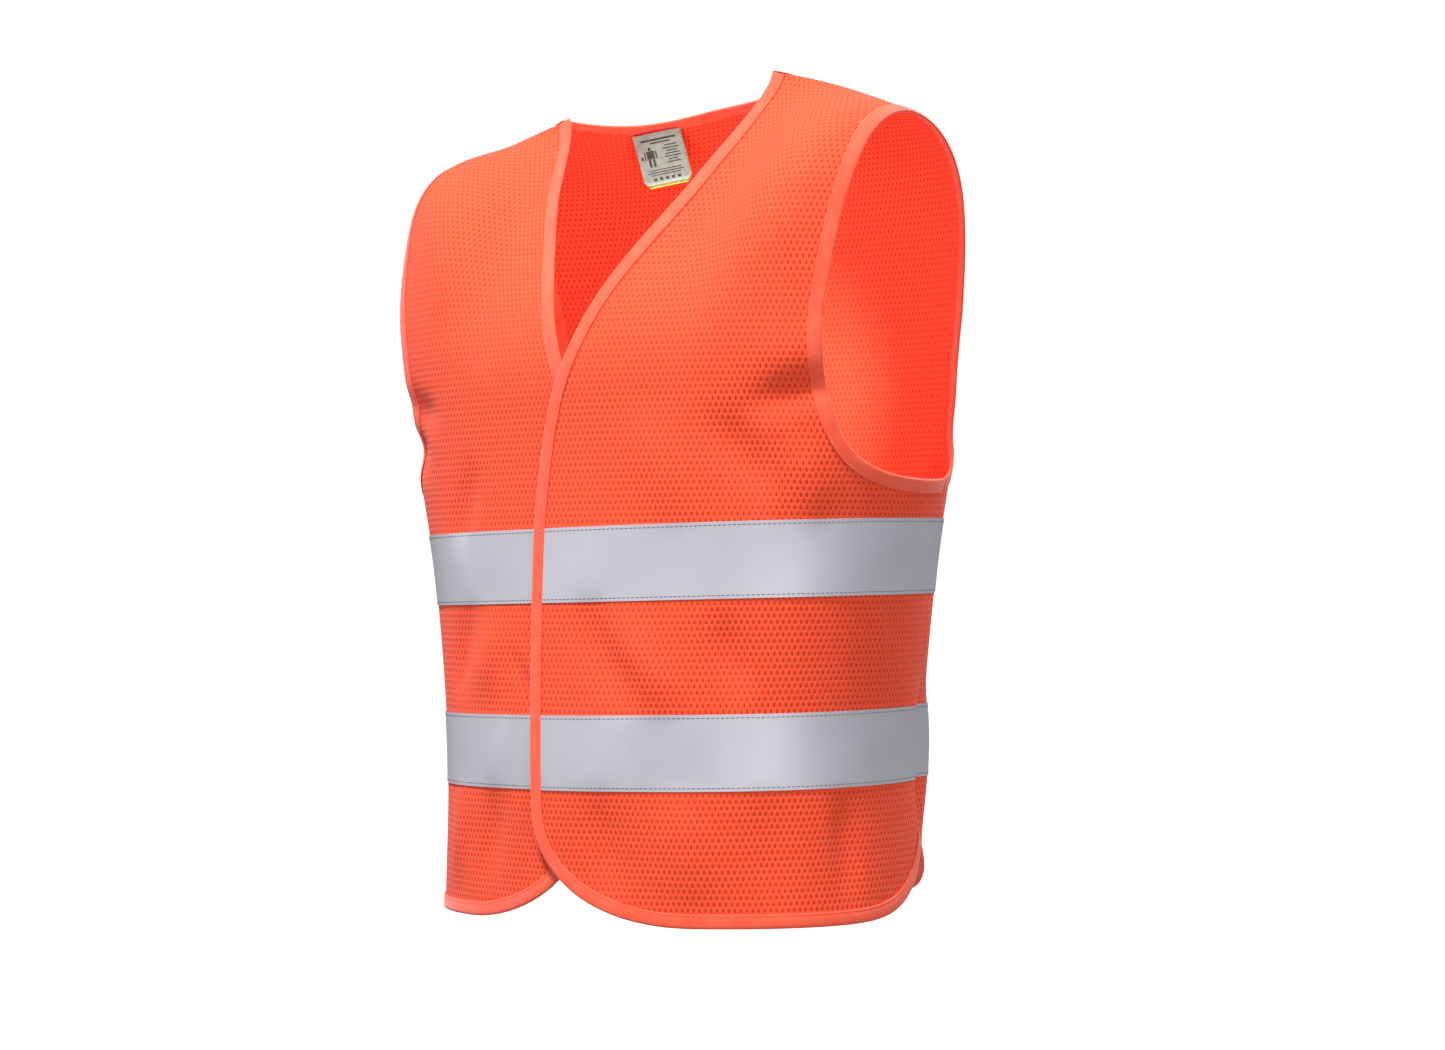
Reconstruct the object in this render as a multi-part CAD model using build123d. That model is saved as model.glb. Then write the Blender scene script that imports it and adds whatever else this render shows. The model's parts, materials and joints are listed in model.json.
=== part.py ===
from build123d import *
import math
import os

# High visibility vest, worn shape, millimetres.  +Z up, the front faces -Y,
# the wearer's left is +X.  Z = 0 is the level of the hem, X = Y = 0 the middle of the body.
# Angles round the body: 0 = wearer's left side, -90 = front, +90 = back.

# Body shape: (height, value) stations, hem to shoulders
SKIN_FOOT = -12
HALF_WIDTH = ((-40, 177), (0, 176), (110, 172), (230, 185), (310, 202), (400, 217), (430, 218), (600, 218))
FRONT_DEPTH = ((-40, 125), (0, 125), (110, 129), (230, 127), (310, 126), (400, 128), (600, 129))
BACK_DEPTH = ((-40, 129), (0, 130), (110, 134), (230, 130), (310, 124), (400, 128), (600, 132))
SQUARENESS = 0.0227
HANG_AT_HEM = 0.017
HANG_PER_MM = 0.00007

# Shoulders: (across, height) of the shoulder line, lower on the wearer's right
SHOULDER_LINE = ((-235, 490), (-189, 522), (-89, 550.5), (0, 576), (89, 572), (189, 540), (235, 505))
CHEST_HEIGHT = 350
CHEST_TO_TOP = 200
SHOULDER_FORWARD = 22
SHOULDER_HALF = 200
NECK_CURVE_END = 80
ARM_CURVE_START = 180
FRONT_NECK_POWER, FRONT_NECK_CLOSE = 2.0, 1.45
BACK_NECK_POWER, BACK_NECK_CLOSE = 3.3, 0.5
ARM_POWER, ARM_CLOSE = 5.0, 0.5
SHOULDER_GAP = 2.4

# Cloth
PANEL_THICK = 1.0
BINDING_WIDTH = 9.0
BINDING_CLOTH = 0.45
EDGE_SETBACK = 0.9
ARM_SETBACK = 1.5
ARM_UNDERCUT = 2.4
ARM_FLAT_RISE = 1.3
ARM_TURN_X = 184
LAYER_GAP = 0.25
BINDING_GAP = 0.55
TAPE_THICK = 0.35
TAPE_WIDTH = 50.0
LOWER_TAPE, UPPER_TAPE = 89.0, 214.0

# Front closure: half the gap between the two front edges (negative = overlap), by height
CLOSURE_CENTRE = ((-40, -6), (370, -6), (540, 0), (700, 0))
FRONT_GAP = (
    (-40, -21), (140, -21), (215, -21), (268, -19.5), (294, -17), (321, -13), (345, -7.5), (370, 1),
    (410, 18), (440, 32), (470, 47), (500, 62), (540, 79), (561, 87), (580, 90), (640, 92),
)
OVERLAP_LIFT = 5.0
LIFT_FULL_X, LIFT_END_X = 10, 80
CORNER_WIDE, CORNER_TALL = 115, 75

# Armhole edge: (height, across) above the armpit, (forward, height) round the armpit
ARMHOLE_UPPER = (
    (318, 178), (341, 174), (362, 172.5), (385, 173), (409, 176),
    (453, 182), (494, 187), (531, 189), (560, 190),
)
ARMHOLE_START, ARMHOLE_STEP = 515, 14
FRONT_ARMPIT_TOP, BACK_ARMPIT_TOP = 318, 341
FRONT_ARMPIT = ((-60, 304.5), (-46, 296), (-30, 291.5), (-12, 289.3), (8, 288.6))
BACK_ARMPIT = ((75, 322), (66, 309.5), (56, 300.5), (44, 293.5))
ARMPIT_AT_SEAM = 289.5
SHOULDER_END = 189

# Back neckline, seen from above
NECK_HALF, NECK_Y, NECK_DEPTH, NECK_POWER = 89, -15, 65, 2.2

# Side seam, and the hem that rises towards it
SEAM_Y_AT_HEM, SEAM_Y_AT_ARMHOLE = 60, 32
ARMHOLE_BOTTOM = 292
SEAM_CUT_TOP = 300
SEAM_GAP = 2.4
SEAM_STRIP, SEAM_STRIP_THICK = 8, 0.8
SIDE_STRIP_GAP, SHOULDER_STRIP_GAP = 0.3, 0.6
TAPE_BINDING_GAP = 0.6
SEAM_STRIP_LEVELS = (66, 274)
SHOULDER_STRIP_X = (101, 176)
HEM_PEAK_Y, HEM_RISE, HEM_REACH, HEM_POWER = 55, 50, 130, 4

# Closure pads and care label
PAD_X = (-16, 4)
PAD_TALL = 40
HOOK_THICK, LOOP_THICK = 1.2, 1.0
LOOP_GAP = 0.1
LABEL_WIDE, LABEL_TALL, LABEL_THICK = 36, 38, 0.5
LABEL_TOP = (-53.0, 43.0, 546.5)
LABEL_TURN, LABEL_TILT, LABEL_LEAN = 20, 10, 22

# Cloth face sizes by angle: how far a panel's face runs past its side seam, above and below
REACH_BELOW, REACH_LOSS = 38, 58
BACK_BELOW, BACK_LOSS = 4, 16
REACH_CHANGE = 90
FRONT_START = 20

# Sizes of the cutting shapes, and fineness of the surfaces and searches
FAR, BELOW_HEM, ABOVE_TOP = 300, -60, 640
CUT_ABOVE, CUT_BEHIND = 60, 40
PLAN_LEVEL, PLAN_CUT_TALL = 560, 400
HEM_CUT_Y, HEM_CUT_RUN = 118, 20
LOWER_ROWS, UPPER_ROWS, COLUMNS = 24, 12, 28
TAPE_ROWS, TAPE_COLUMNS = 4, 20
PAD_ROWS, PAD_COLUMNS = 3, 4
SEAM_ROWS, SHOULDER_ROWS = 12, 8
HEM_STEPS, NECK_STEPS, CORNER_STEPS = 24, 24, 10
EDGE_FIRST_STEP, EDGE_STEP = 10, 12
SMALL_TURN, SMALL_ROW = 0.1, 0.002
NEAR_TOP = 1.99
SEARCHES = 12


def profile(stations, at):
    """Smooth value between (position, value) stations."""
    spots = [s[0] for s in stations]
    values = [s[1] for s in stations]
    if at <= spots[0]:
        return values[0]
    if at >= spots[-1]:
        return values[-1]
    i = max(k for k in range(len(spots) - 1) if spots[k] <= at)

    def slope(k):
        low, high = max(k - 1, 0), min(k + 1, len(spots) - 1)
        return (values[high] - values[low]) / (spots[high] - spots[low])

    step = spots[i + 1] - spots[i]
    t = (at - spots[i]) / step
    start = (1 + 2 * t) * (1 - t) ** 2 * values[i] + t * (1 - t) ** 2 * step * slope(i)
    end = t * t * (3 - 2 * t) * values[i + 1] + t * t * (t - 1) * step * slope(i + 1)
    return start + end


def smooth(t):
    """0 to 1 with flat ends."""
    t = min(max(t, 0), 1)
    return t * t * (3 - 2 * t)


def hang(x, z):
    """Height after the vest's small sideways hang."""
    return z + (HANG_AT_HEM + HANG_PER_MM * z) * x


def skin(angle, row, front, lift):
    """Point of the body surface; rows 0..1 run hem to chest, 1..2 chest to shoulder line."""
    a = math.radians(angle)
    rise = max(row - 1, 0)
    climb = math.sin(math.pi / 2 * rise)
    level = SKIN_FOOT + (CHEST_HEIGHT - SKIN_FOOT) * min(row, 1) + CHEST_TO_TOP * climb
    half = profile(HALF_WIDTH, level)
    deep = profile(FRONT_DEPTH if math.sin(a) < 0 else BACK_DEPTH, level)
    x = half * (math.cos(a) - SQUARENESS * math.cos(3 * a)) / (1 - SQUARENESS)
    y = deep * (math.sin(a) + SQUARENESS * math.sin(3 * a)) / (1 - SQUARENESS)
    if row <= 1:
        z = hang(x, level)
    else:
        out = smooth((abs(x) - NECK_CURVE_END) / (ARM_CURVE_START - NECK_CURVE_END))
        power = FRONT_NECK_POWER if front else BACK_NECK_POWER
        close = FRONT_NECK_CLOSE if front else BACK_NECK_CLOSE
        power += (ARM_POWER - power) * out
        close += (ARM_CLOSE - close) * out
        if front:
            climb = rise + (climb - rise) * out
        keep = (1 - climb ** power) ** close
        top_y = -SHOULDER_FORWARD * math.cos(math.pi / 2 * min(abs(x) / SHOULDER_HALF, 1))
        top_y += -SHOULDER_GAP / 2 if front else SHOULDER_GAP / 2
        y = y * keep + top_y * (1 - keep)
        chest = hang(x, CHEST_HEIGHT)
        z = chest + (profile(SHOULDER_LINE, x) - chest) * climb
    if lift:
        y -= OVERLAP_LIFT * (1 - smooth((x - LIFT_FULL_X) / (LIFT_END_X - LIFT_FULL_X)))
    return Vector(x, y, z)


def level_row(level):
    """Row of a height at or below the chest."""
    return (level - SKIN_FOOT) / (CHEST_HEIGHT - SKIN_FOOT)


def outward(angle, row, front, lift):
    """Unit direction away from the body."""
    across = skin(angle + 0.2, row, front, lift) - skin(angle - 0.2, row, front, lift)
    below = max(min(row, 1.99) - 0.01, 0)
    along = skin(angle, below + 0.01, front, lift) - skin(angle, below, front, lift)
    return across.cross(along).normalized()


def locate(target, axes, start, front, lift):
    """Angle and row whose point has the target's two named coordinates."""
    angle, row = start
    for _ in range(SEARCHES):
        here = skin(angle, row, front, lift)
        turn = skin(angle + SMALL_TURN, row, front, lift) - here
        if row < NEAR_TOP:
            rise = skin(angle, row + SMALL_ROW, front, lift) - here
        else:
            rise = here - skin(angle, row - SMALL_ROW, front, lift)
        miss = [target[k] - getattr(here, axes[k]) for k in (0, 1)]
        a, b = (getattr(turn, axes[k]) / SMALL_TURN for k in (0, 1))
        c, d = (getattr(rise, axes[k]) / SMALL_ROW for k in (0, 1))
        scale = a * d - b * c
        angle += max(min((miss[0] * d - miss[1] * c) / scale, 12), -12)
        row = min(max(row + max(min((a * miss[1] - b * miss[0]) / scale, 0.15), -0.15), 0), 2)
    return angle, row


def inward_step(path, i, distance, side_sign, front, lift):
    """Place on the surface a distance in from an edge path."""
    before, after = path[max(i - 1, 0)], path[min(i + 1, len(path) - 1)]
    along = skin(*after, front, lift) - skin(*before, front, lift)
    angle, row = path[i]
    inward = outward(angle, row, front, lift).cross(along).normalized() * (distance * side_sign)
    turn = skin(angle + SMALL_TURN, row, front, lift) - skin(angle - SMALL_TURN, row, front, lift)
    turn = turn / (2 * SMALL_TURN)
    low = min(row, 2 - 2 * SMALL_ROW)
    rise = skin(angle, low + SMALL_ROW, front, lift) - skin(angle, low - SMALL_ROW, front, lift)
    rise = rise / (2 * SMALL_ROW)
    tt, tr, rr = turn.dot(turn), turn.dot(rise), rise.dot(rise)
    it, ir = inward.dot(turn), inward.dot(rise)
    scale = tt * rr - tr * tr
    return angle + (it * rr - ir * tr) / scale, min(row + (ir * tt - it * tr) / scale, 2)


def angle_at(axis, value, level, front, lift, guess):
    """Angle whose point at a level has a given X or Y."""
    row = level_row(level)
    angle = guess
    for _ in range(SEARCHES):
        here = getattr(skin(angle, row, front, lift), axis)
        slope = getattr(skin(angle + SMALL_TURN, row, front, lift), axis) - here
        angle += max(min((value - here) / slope * SMALL_TURN, 15), -15)
    return angle


def seam_y(level):
    return SEAM_Y_AT_HEM + (SEAM_Y_AT_ARMHOLE - SEAM_Y_AT_HEM) * level / ARMHOLE_BOTTOM


def hem_level(y):
    return HEM_RISE * max(1 - abs(y - HEM_PEAK_Y) / HEM_REACH, 0) ** HEM_POWER


def opening_x(sign, z):
    return profile(CLOSURE_CENTRE, z) + sign * profile(FRONT_GAP, z)


def opening_path(sign, lift):
    """Neckline, front edge and rounded hem corner of a front panel, top to bottom."""
    x = sign * NECK_HALF
    for _ in range(5):
        x = opening_x(sign, profile(SHOULDER_LINE, x))
    top = profile(SHOULDER_LINE, x)
    here = locate((x, top), "XZ", (-90 + sign * 60, NEAR_TOP), True, lift)
    path = [(here[0], 2)]
    z = top - EDGE_FIRST_STEP
    while z > CORNER_TALL + 8:
        x = opening_x(sign, z)
        here = locate((x, z), "XZ", here, True, lift)
        path.append(here)
        z -= EDGE_STEP
    centre_x = opening_x(sign, 0) + sign * CORNER_WIDE
    for step in range(CORNER_STEPS + 1):
        turn = math.pi / 2 * (1 - step / CORNER_STEPS)
        x = centre_x - sign * CORNER_WIDE * math.sin(turn)
        level = CORNER_TALL * (1 - math.cos(turn))
        path.append((angle_at("X", x, level, True, lift, -90 + sign * 5), level_row(level)))
    return path


def hem_path(start, end, lift, front):
    """Hem from one angle to another, rising towards the side seam."""
    path = []
    for i in range(HEM_STEPS + 1):
        angle = start + (end - start) * i / HEM_STEPS
        level = 0
        for _ in range(3):
            level = hem_level(skin(angle, level_row(level), front, lift).Y)
        path.append((angle, level_row(level)))
    return path


def armhole_path(sign, front, lift):
    """Armhole edge from the shoulder line down to the side seam."""
    face = -1 if front else 1
    top = profile(SHOULDER_LINE, sign * SHOULDER_END)
    start = face * 30 if sign > 0 else face * 150
    here = locate((sign * SHOULDER_END, top), "XZ", (start, NEAR_TOP), front, lift)
    path = [(here[0], 2)]
    armpit = FRONT_ARMPIT if front else BACK_ARMPIT
    lowest = FRONT_ARMPIT_TOP if front else BACK_ARMPIT_TOP
    level = ARMHOLE_START
    while level >= lowest:
        x = sign * profile(ARMHOLE_UPPER, level)
        here = locate((x, hang(x, level)), "XZ", here, front, lift)
        path.append(here)
        level -= ARMHOLE_STEP
    for y, level in (*armpit, (seam_y(ARMPIT_AT_SEAM) + face * SEAM_GAP / 2, ARMPIT_AT_SEAM)):
        guess = math.degrees(math.asin(y / 130))
        guess = guess if sign > 0 else 180 - guess
        path.append((angle_at("Y", y, level, front, lift, guess), level_row(level)))
    return path


def neck_path():
    """Back neckline from the wearer's left to the right."""
    path = []
    here = (40, 1.97)
    for i in range(NECK_STEPS + 1):
        turn = math.pi * i / NECK_STEPS
        across = math.copysign(abs(math.cos(turn)) ** (2 / NECK_POWER), math.cos(turn))
        y = NECK_Y + NECK_DEPTH * math.sin(turn) ** (2 / NECK_POWER)
        here = locate((NECK_HALF * across, y), "XY", here, False, False)
        path.append(here)
    path[0] = (path[0][0], 2)
    path[-1] = (path[-1][0], 2)
    return path


def raised(angle, row, distance, front, lift):
    """Point at a distance outside the body surface."""
    return skin(angle, row, front, lift) + outward(angle, row, front, lift) * distance


def surface(piece, distance):
    """Smooth untrimmed face of a panel at a distance outside the body surface."""
    front, lift = piece != "back", piece == "left"
    rows = [i / LOWER_ROWS for i in range(LOWER_ROWS + 1)]
    rows += [1 + i / UPPER_ROWS for i in range(1, UPPER_ROWS + 1)]
    grid = []
    for row in rows:
        level = CHEST_HEIGHT * min(row, 1) + CHEST_TO_TOP * max(row - 1, 0)
        narrow = smooth((level - ARMHOLE_BOTTOM) / REACH_CHANGE)
        reach = REACH_BELOW - REACH_LOSS * narrow
        back_start = BACK_BELOW + BACK_LOSS * narrow
        spans = {
            "left": (-90 - FRONT_START, reach),
            "right": (-180 - reach, -90 + FRONT_START),
            "back": (back_start, 180 - back_start),
        }
        low, high = spans[piece]
        angles = [low + (high - low) * j / COLUMNS for j in range(COLUMNS + 1)]
        grid.append([raised(a, row, distance, front, lift) for a in angles])
    return Face.make_surface_from_array_of_points(grid, tol=0.05, min_deg=3, max_deg=3)


def closed(inner, outer):
    """Solid between two matching four-sided faces."""
    sides = []
    for edge in inner.edges():
        match = min(outer.edges(), key=lambda other: (other.center() - edge.center()).length)
        sides.append(Face.make_surface_from_curves(edge, match))
    return Solid(Shell([inner, outer, *sides]))


def layer(grid, inner, outer, front, lift):
    """Thin solid over a grid of (angle, row) places."""
    faces = []
    for distance in (inner, outer):
        points = [[raised(a, r, distance, front, lift) for a, r in line] for line in grid]
        faces.append(Face.make_surface_from_array_of_points(points, tol=0.02, min_deg=3, max_deg=3))
    return closed(*faces)


def binding(path, turn, front, lift):
    """Tape folded over a panel's edge: a U section carried along the edge path."""
    near, far = BINDING_GAP, BINDING_GAP + BINDING_CLOTH
    sections = []
    for i, place in enumerate(path):
        inner = inward_step(path, i, BINDING_WIDTH, turn, front, lift)
        edge, rim = skin(*place, front, lift), skin(*inner, front, lift)
        out_edge, out_rim = outward(*place, front, lift), outward(*inner, front, lift)
        floor = edge + (rim - edge) * (BINDING_CLOTH / BINDING_WIDTH)
        sections.append([
            rim + out_rim * (PANEL_THICK + far), edge + out_edge * (PANEL_THICK + far),
            edge - out_edge * far, rim - out_rim * far, rim - out_rim * near, floor - out_edge * near,
            floor + out_edge * (PANEL_THICK + near), rim + out_rim * (PANEL_THICK + near),
        ])
    rails = [Spline(*[section[k] for section in sections]).edge() for k in range(8)]
    faces = [Face.make_surface_from_curves(rails[k], rails[(k + 1) % 8]) for k in range(8)]
    for section in (sections[0], sections[-1]):
        for quad in ((0, 1, 6, 7), (1, 2, 5, 6), (2, 3, 4, 5)):
            for corners in ((quad[0], quad[1], quad[2]), (quad[0], quad[2], quad[3])):
                outline = Polyline(*[section[k] for k in corners], close=True)
                faces.append(Face(outline.wire()))
    return Solid(Shell(faces))


def prism(curve, corners, place, direction):
    """Cutter swept both ways from a flat outline: one smooth curve closed by straight corners."""
    smooth_edge = Spline(*[place(u, v) for u, v in curve])
    straight = Polyline(*[place(u, v) for u, v in [curve[-1], *corners, curve[0]]])
    face = Face(Wire([smooth_edge, *straight.edges()]))
    return extrude(face, amount=FAR, dir=direction, both=True)


def front_view(x, z):
    return (x, 0, z)


def side_view(y, z):
    return (0, y, z)


def plan_view(x, y):
    return (x, y, PLAN_LEVEL)


def set_back(path, turn, front, lift, distance=EDGE_SETBACK):
    """Points of a path moved in by the panel's setback inside its binding."""
    places = [inward_step(path, i, distance, turn, front, lift) for i in range(len(path))]
    return [skin(*place, front, lift) for place in places]


def opening_cut(sign, path, turn, lift):
    """Cutter for the neckline and front edge of a front panel."""
    points = [(p.X, p.Z) for p in set_back(path, turn, True, lift)]
    points = [(points[0][0] + sign * 2, points[0][1] + CUT_ABOVE)] + points
    corners = [(points[-1][0], BELOW_HEM), (-sign * FAR, BELOW_HEM), (-sign * FAR, points[0][1])]
    return prism(points, corners, front_view, (0, 1, 0))


def armhole_cut(sign, path, turn, front, lift):
    """Cutter for an armhole; it runs out to the side just below the armpit."""
    points = [(p.X, p.Z) for p in set_back(path, turn, front, lift, ARM_SETBACK)]
    bottom = min(z for _, z in points)
    lowest = bottom - ARM_UNDERCUT
    points = [p for p in points if p[1] > bottom + ARM_FLAT_RISE and abs(p[0]) < ARM_TURN_X]
    points = [(points[0][0] + sign * 0.5, points[0][1] + CUT_ABOVE)] + points
    end = points[-1]
    points += [(end[0] + sign * 8, lowest + 0.4), (end[0] + sign * 20, lowest)]
    corners = [(sign * FAR, lowest), (sign * FAR, points[0][1])]
    return prism(points, corners, front_view, (0, 1, 0))


def hem_cut(path, turn, front):
    """Cutter below a hem, swept along the hem's own sideways slope."""
    points = [(p.Y, p.Z - HANG_AT_HEM * p.X) for p in set_back(path, turn, front, False)]
    points = [p for p in points if abs(p[0]) < HEM_CUT_Y]
    rise = (points[-1][1] - points[-3][1]) / (points[-1][0] - points[-3][0])
    toward = HEM_CUT_RUN if front else -HEM_CUT_RUN
    points.append((points[-1][0] + toward, points[-1][1] + toward * rise))
    away = -FAR if front else FAR
    points = [(away, EDGE_SETBACK), (away / 2, EDGE_SETBACK)] + points
    corners = [(points[-1][0], BELOW_HEM), (away, BELOW_HEM)]
    return prism(points, corners, side_view, Vector(1, 0, HANG_AT_HEM))


def neck_cut(path, turn):
    """Cutter for the back neckline, kept to the shoulders' height."""
    points = [(p.X, p.Y) for p in set_back(path, turn, False, False)]
    start, end = points[0], points[-1]
    points = [(start[0], start[1] - CUT_BEHIND)] + points + [(end[0], end[1] - CUT_BEHIND)]
    cutter = prism(points, [], plan_view, (0, 0, 1))
    return cutter & Pos(0, 0, ABOVE_TOP) * Box(2 * FAR, 2 * FAR, PLAN_CUT_TALL)


def side_block(shift, toward):
    """Everything on one side of the side seam and of the armhole's middle."""
    low, high, top = BELOW_HEM, SEAM_CUT_TOP, ABOVE_TOP
    outline = [(seam_y(low) + shift, low), (seam_y(high) + shift, high)]
    if toward > 0:
        outline += [(SEAM_Y_AT_ARMHOLE / 2, top), (toward, top)]
    else:
        outline += [(toward, high)]
    outline.append((toward, low))
    face = Face(Polyline(*[side_view(y, z) for y, z in outline], close=True).wire())
    return extrude(face, amount=FAR, dir=(1, 0, 0), both=True)


def save(name, shape):
    """Writes the piece, without any crumbs that a cut left beside it."""
    body = max(shape.solids(), key=lambda s: s.volume)
    body.label = name
    export_step(body, f"parts/{name}.step")
    print(name, "volume", round(body.volume, 1), "valid", body.is_valid, flush=True)


def blend(low, high, count):
    """Evenly spaced values from low to high."""
    return [low + (high - low) * i / count for i in range(count + 1)]


def seam_angle(sign, level, front, lift):
    """Angle of the side seam's own edge at a level."""
    shift = -SEAM_GAP / 2 if front else SEAM_GAP / 2
    guess = 20 if sign > 0 else 160
    return angle_at("Y", seam_y(level) + shift, level, front, lift, guess)


def make_front(side):
    """A front panel with its bindings, tapes and closure pads."""
    sign, lift = (1, True) if side == "left" else (-1, False)
    opening = opening_path(sign, lift)
    peak = seam_angle(sign, HEM_RISE, True, lift)
    peak = peak if sign > 0 else peak - 360
    hem = hem_path(opening[-1][0], peak, lift, True)
    armhole = armhole_path(sign, True, lift)
    armhole = [(a if sign > 0 or a < 0 else a - 360, r) for a, r in armhole]

    panel = closed(surface(side, 0), surface(side, PANEL_THICK)) - side_block(-SEAM_GAP / 2, FAR)
    panel = panel - opening_cut(sign, opening, sign, lift)
    panel = panel - armhole_cut(sign, armhole, -sign, True, lift)
    panel = panel - hem_cut(hem, sign, True)
    save(f"{side}_front_panel", panel)
    save(f"{side}_front_edge_binding", binding(opening + hem[1:], sign, True, lift))
    save(f"{side}_front_armhole_binding", binding(armhole, -sign, True, lift))

    near, far = PANEL_THICK + LAYER_GAP, PANEL_THICK + LAYER_GAP + TAPE_THICK
    for name, low in (("lower", LOWER_TAPE), ("upper", UPPER_TAPE)):
        grid = []
        for level in blend(low, low + TAPE_WIDTH, TAPE_ROWS):
            edge_x = opening_x(sign, level) + sign * (BINDING_WIDTH + TAPE_BINDING_GAP)
            start = angle_at("X", edge_x, level, True, lift, -90)
            end = seam_angle(sign, level, True, lift)
            end = end if sign > 0 else end - 360
            grid.append([(a, level_row(level)) for a in blend(start, end, TAPE_COLUMNS)])
        save(f"{side}_front_{name}_tape", layer(grid, near, far, True, lift))
        make_pad(side, name, low + (TAPE_WIDTH - PAD_TALL) / 2, far)


def make_pad(side, name, bottom, tape_top):
    """Hook pad inside the left front, or loop pad on the right front's tape."""
    lift = side == "left"
    grid = []
    for level in blend(bottom, bottom + PAD_TALL, PAD_ROWS):
        ends = [angle_at("X", x, level, True, lift, -90) for x in PAD_X]
        grid.append([(a, level_row(level)) for a in blend(*ends, PAD_COLUMNS)])
    if side == "left":
        save(f"hook_pad_{name}", layer(grid, -LAYER_GAP - HOOK_THICK, -LAYER_GAP, True, True))
    else:
        under = tape_top + LOOP_GAP
        save(f"loop_pad_{name}", layer(grid, under, under + LOOP_THICK, True, False))


def make_back():
    """The back panel with its bindings and tapes."""
    neck = neck_path()
    seams = [seam_angle(sign, HEM_RISE, False, False) for sign in (1, -1)]
    hem = hem_path(*seams, False, False)
    left_arm, right_arm = armhole_path(1, False, False), armhole_path(-1, False, False)
    middle = len(hem) // 2

    panel = closed(surface("back", 0), surface("back", PANEL_THICK)) - side_block(SEAM_GAP / 2, -FAR)
    panel = panel - neck_cut(neck, -1)
    panel = panel - armhole_cut(1, left_arm, 1, False, False)
    panel = panel - armhole_cut(-1, right_arm, -1, False, False)
    panel = panel - hem_cut(hem[middle::-1], -1, False)
    save("back_panel", panel)
    save("back_neck_binding", binding(neck, -1, False, False))
    save("back_left_armhole_binding", binding(left_arm, 1, False, False))
    save("back_right_armhole_binding", binding(right_arm, -1, False, False))
    save("back_hem_binding", binding(hem, 1, False, False))

    near, far = PANEL_THICK + LAYER_GAP, PANEL_THICK + LAYER_GAP + TAPE_THICK
    for name, low in (("lower", LOWER_TAPE), ("upper", UPPER_TAPE)):
        grid = []
        for level in blend(low, low + TAPE_WIDTH, TAPE_ROWS):
            ends = [seam_angle(sign, level, False, False) for sign in (1, -1)]
            grid.append([(a, level_row(level)) for a in blend(*ends, 2 * TAPE_COLUMNS)])
        save(f"back_{name}_tape", layer(grid, near, far, False, False))


def side_strip(sign):
    """Places of the seam allowance beside a side seam."""
    grid = []
    guess = 20 if sign > 0 else 160
    for level in blend(*SEAM_STRIP_LEVELS, SEAM_ROWS):
        start = seam_y(level) + SEAM_GAP / 2 + SIDE_STRIP_GAP
        across = [start + SEAM_STRIP * share for share in (0, 0.5, 1)]
        line = [angle_at("Y", y, level, False, False, guess) for y in across]
        grid.append([(a, level_row(level)) for a in line])
    return grid


def shoulder_strip(sign):
    """Places of the seam allowance behind a shoulder seam."""
    grid = []
    for distance in blend(*SHOULDER_STRIP_X, SHOULDER_ROWS):
        x = sign * distance
        start = (90 - sign * 60, NEAR_TOP)
        ridge = locate((x, profile(SHOULDER_LINE, x)), "XZ", start, False, False)
        ridge_y = skin(ridge[0], 2, False, False).Y + SHOULDER_STRIP_GAP
        across = [ridge_y + SEAM_STRIP * share for share in (0, 0.5, 1)]
        grid.append([locate((x, y), "XY", (ridge[0], 1.95), False, False) for y in across])
    return grid


def make_seams():
    """Overlocked seam allowances on the inside of the back panel."""
    near, far = -LAYER_GAP - SEAM_STRIP_THICK, -LAYER_GAP
    for side, sign in (("left", 1), ("right", -1)):
        save(f"{side}_side_seam", layer(side_strip(sign), near, far, False, False))
        save(f"{side}_shoulder_seam", layer(shoulder_strip(sign), near, far, False, False))


def make_label():
    """Care label hanging from its sewn top edge, turned and leaning as it lies in the neck."""
    plate = Pos(0, 0, -LABEL_TALL / 2) * Box(LABEL_WIDE, LABEL_THICK, LABEL_TALL)
    turned = Rot(0, 0, LABEL_TURN) * Rot(0, -LABEL_TILT, 0) * Rot(LABEL_LEAN, 0, 0)
    save("care_label", Pos(*LABEL_TOP) * turned * plate)


os.makedirs("parts", exist_ok=True)
make_front("left")
make_front("right")
make_back()
make_seams()
make_label()
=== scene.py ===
import json
import math
import bpy
import numpy as np
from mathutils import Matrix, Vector
from mathutils.geometry import delaunay_2d_cdt
from mathutils.kdtree import KDTree


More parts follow.
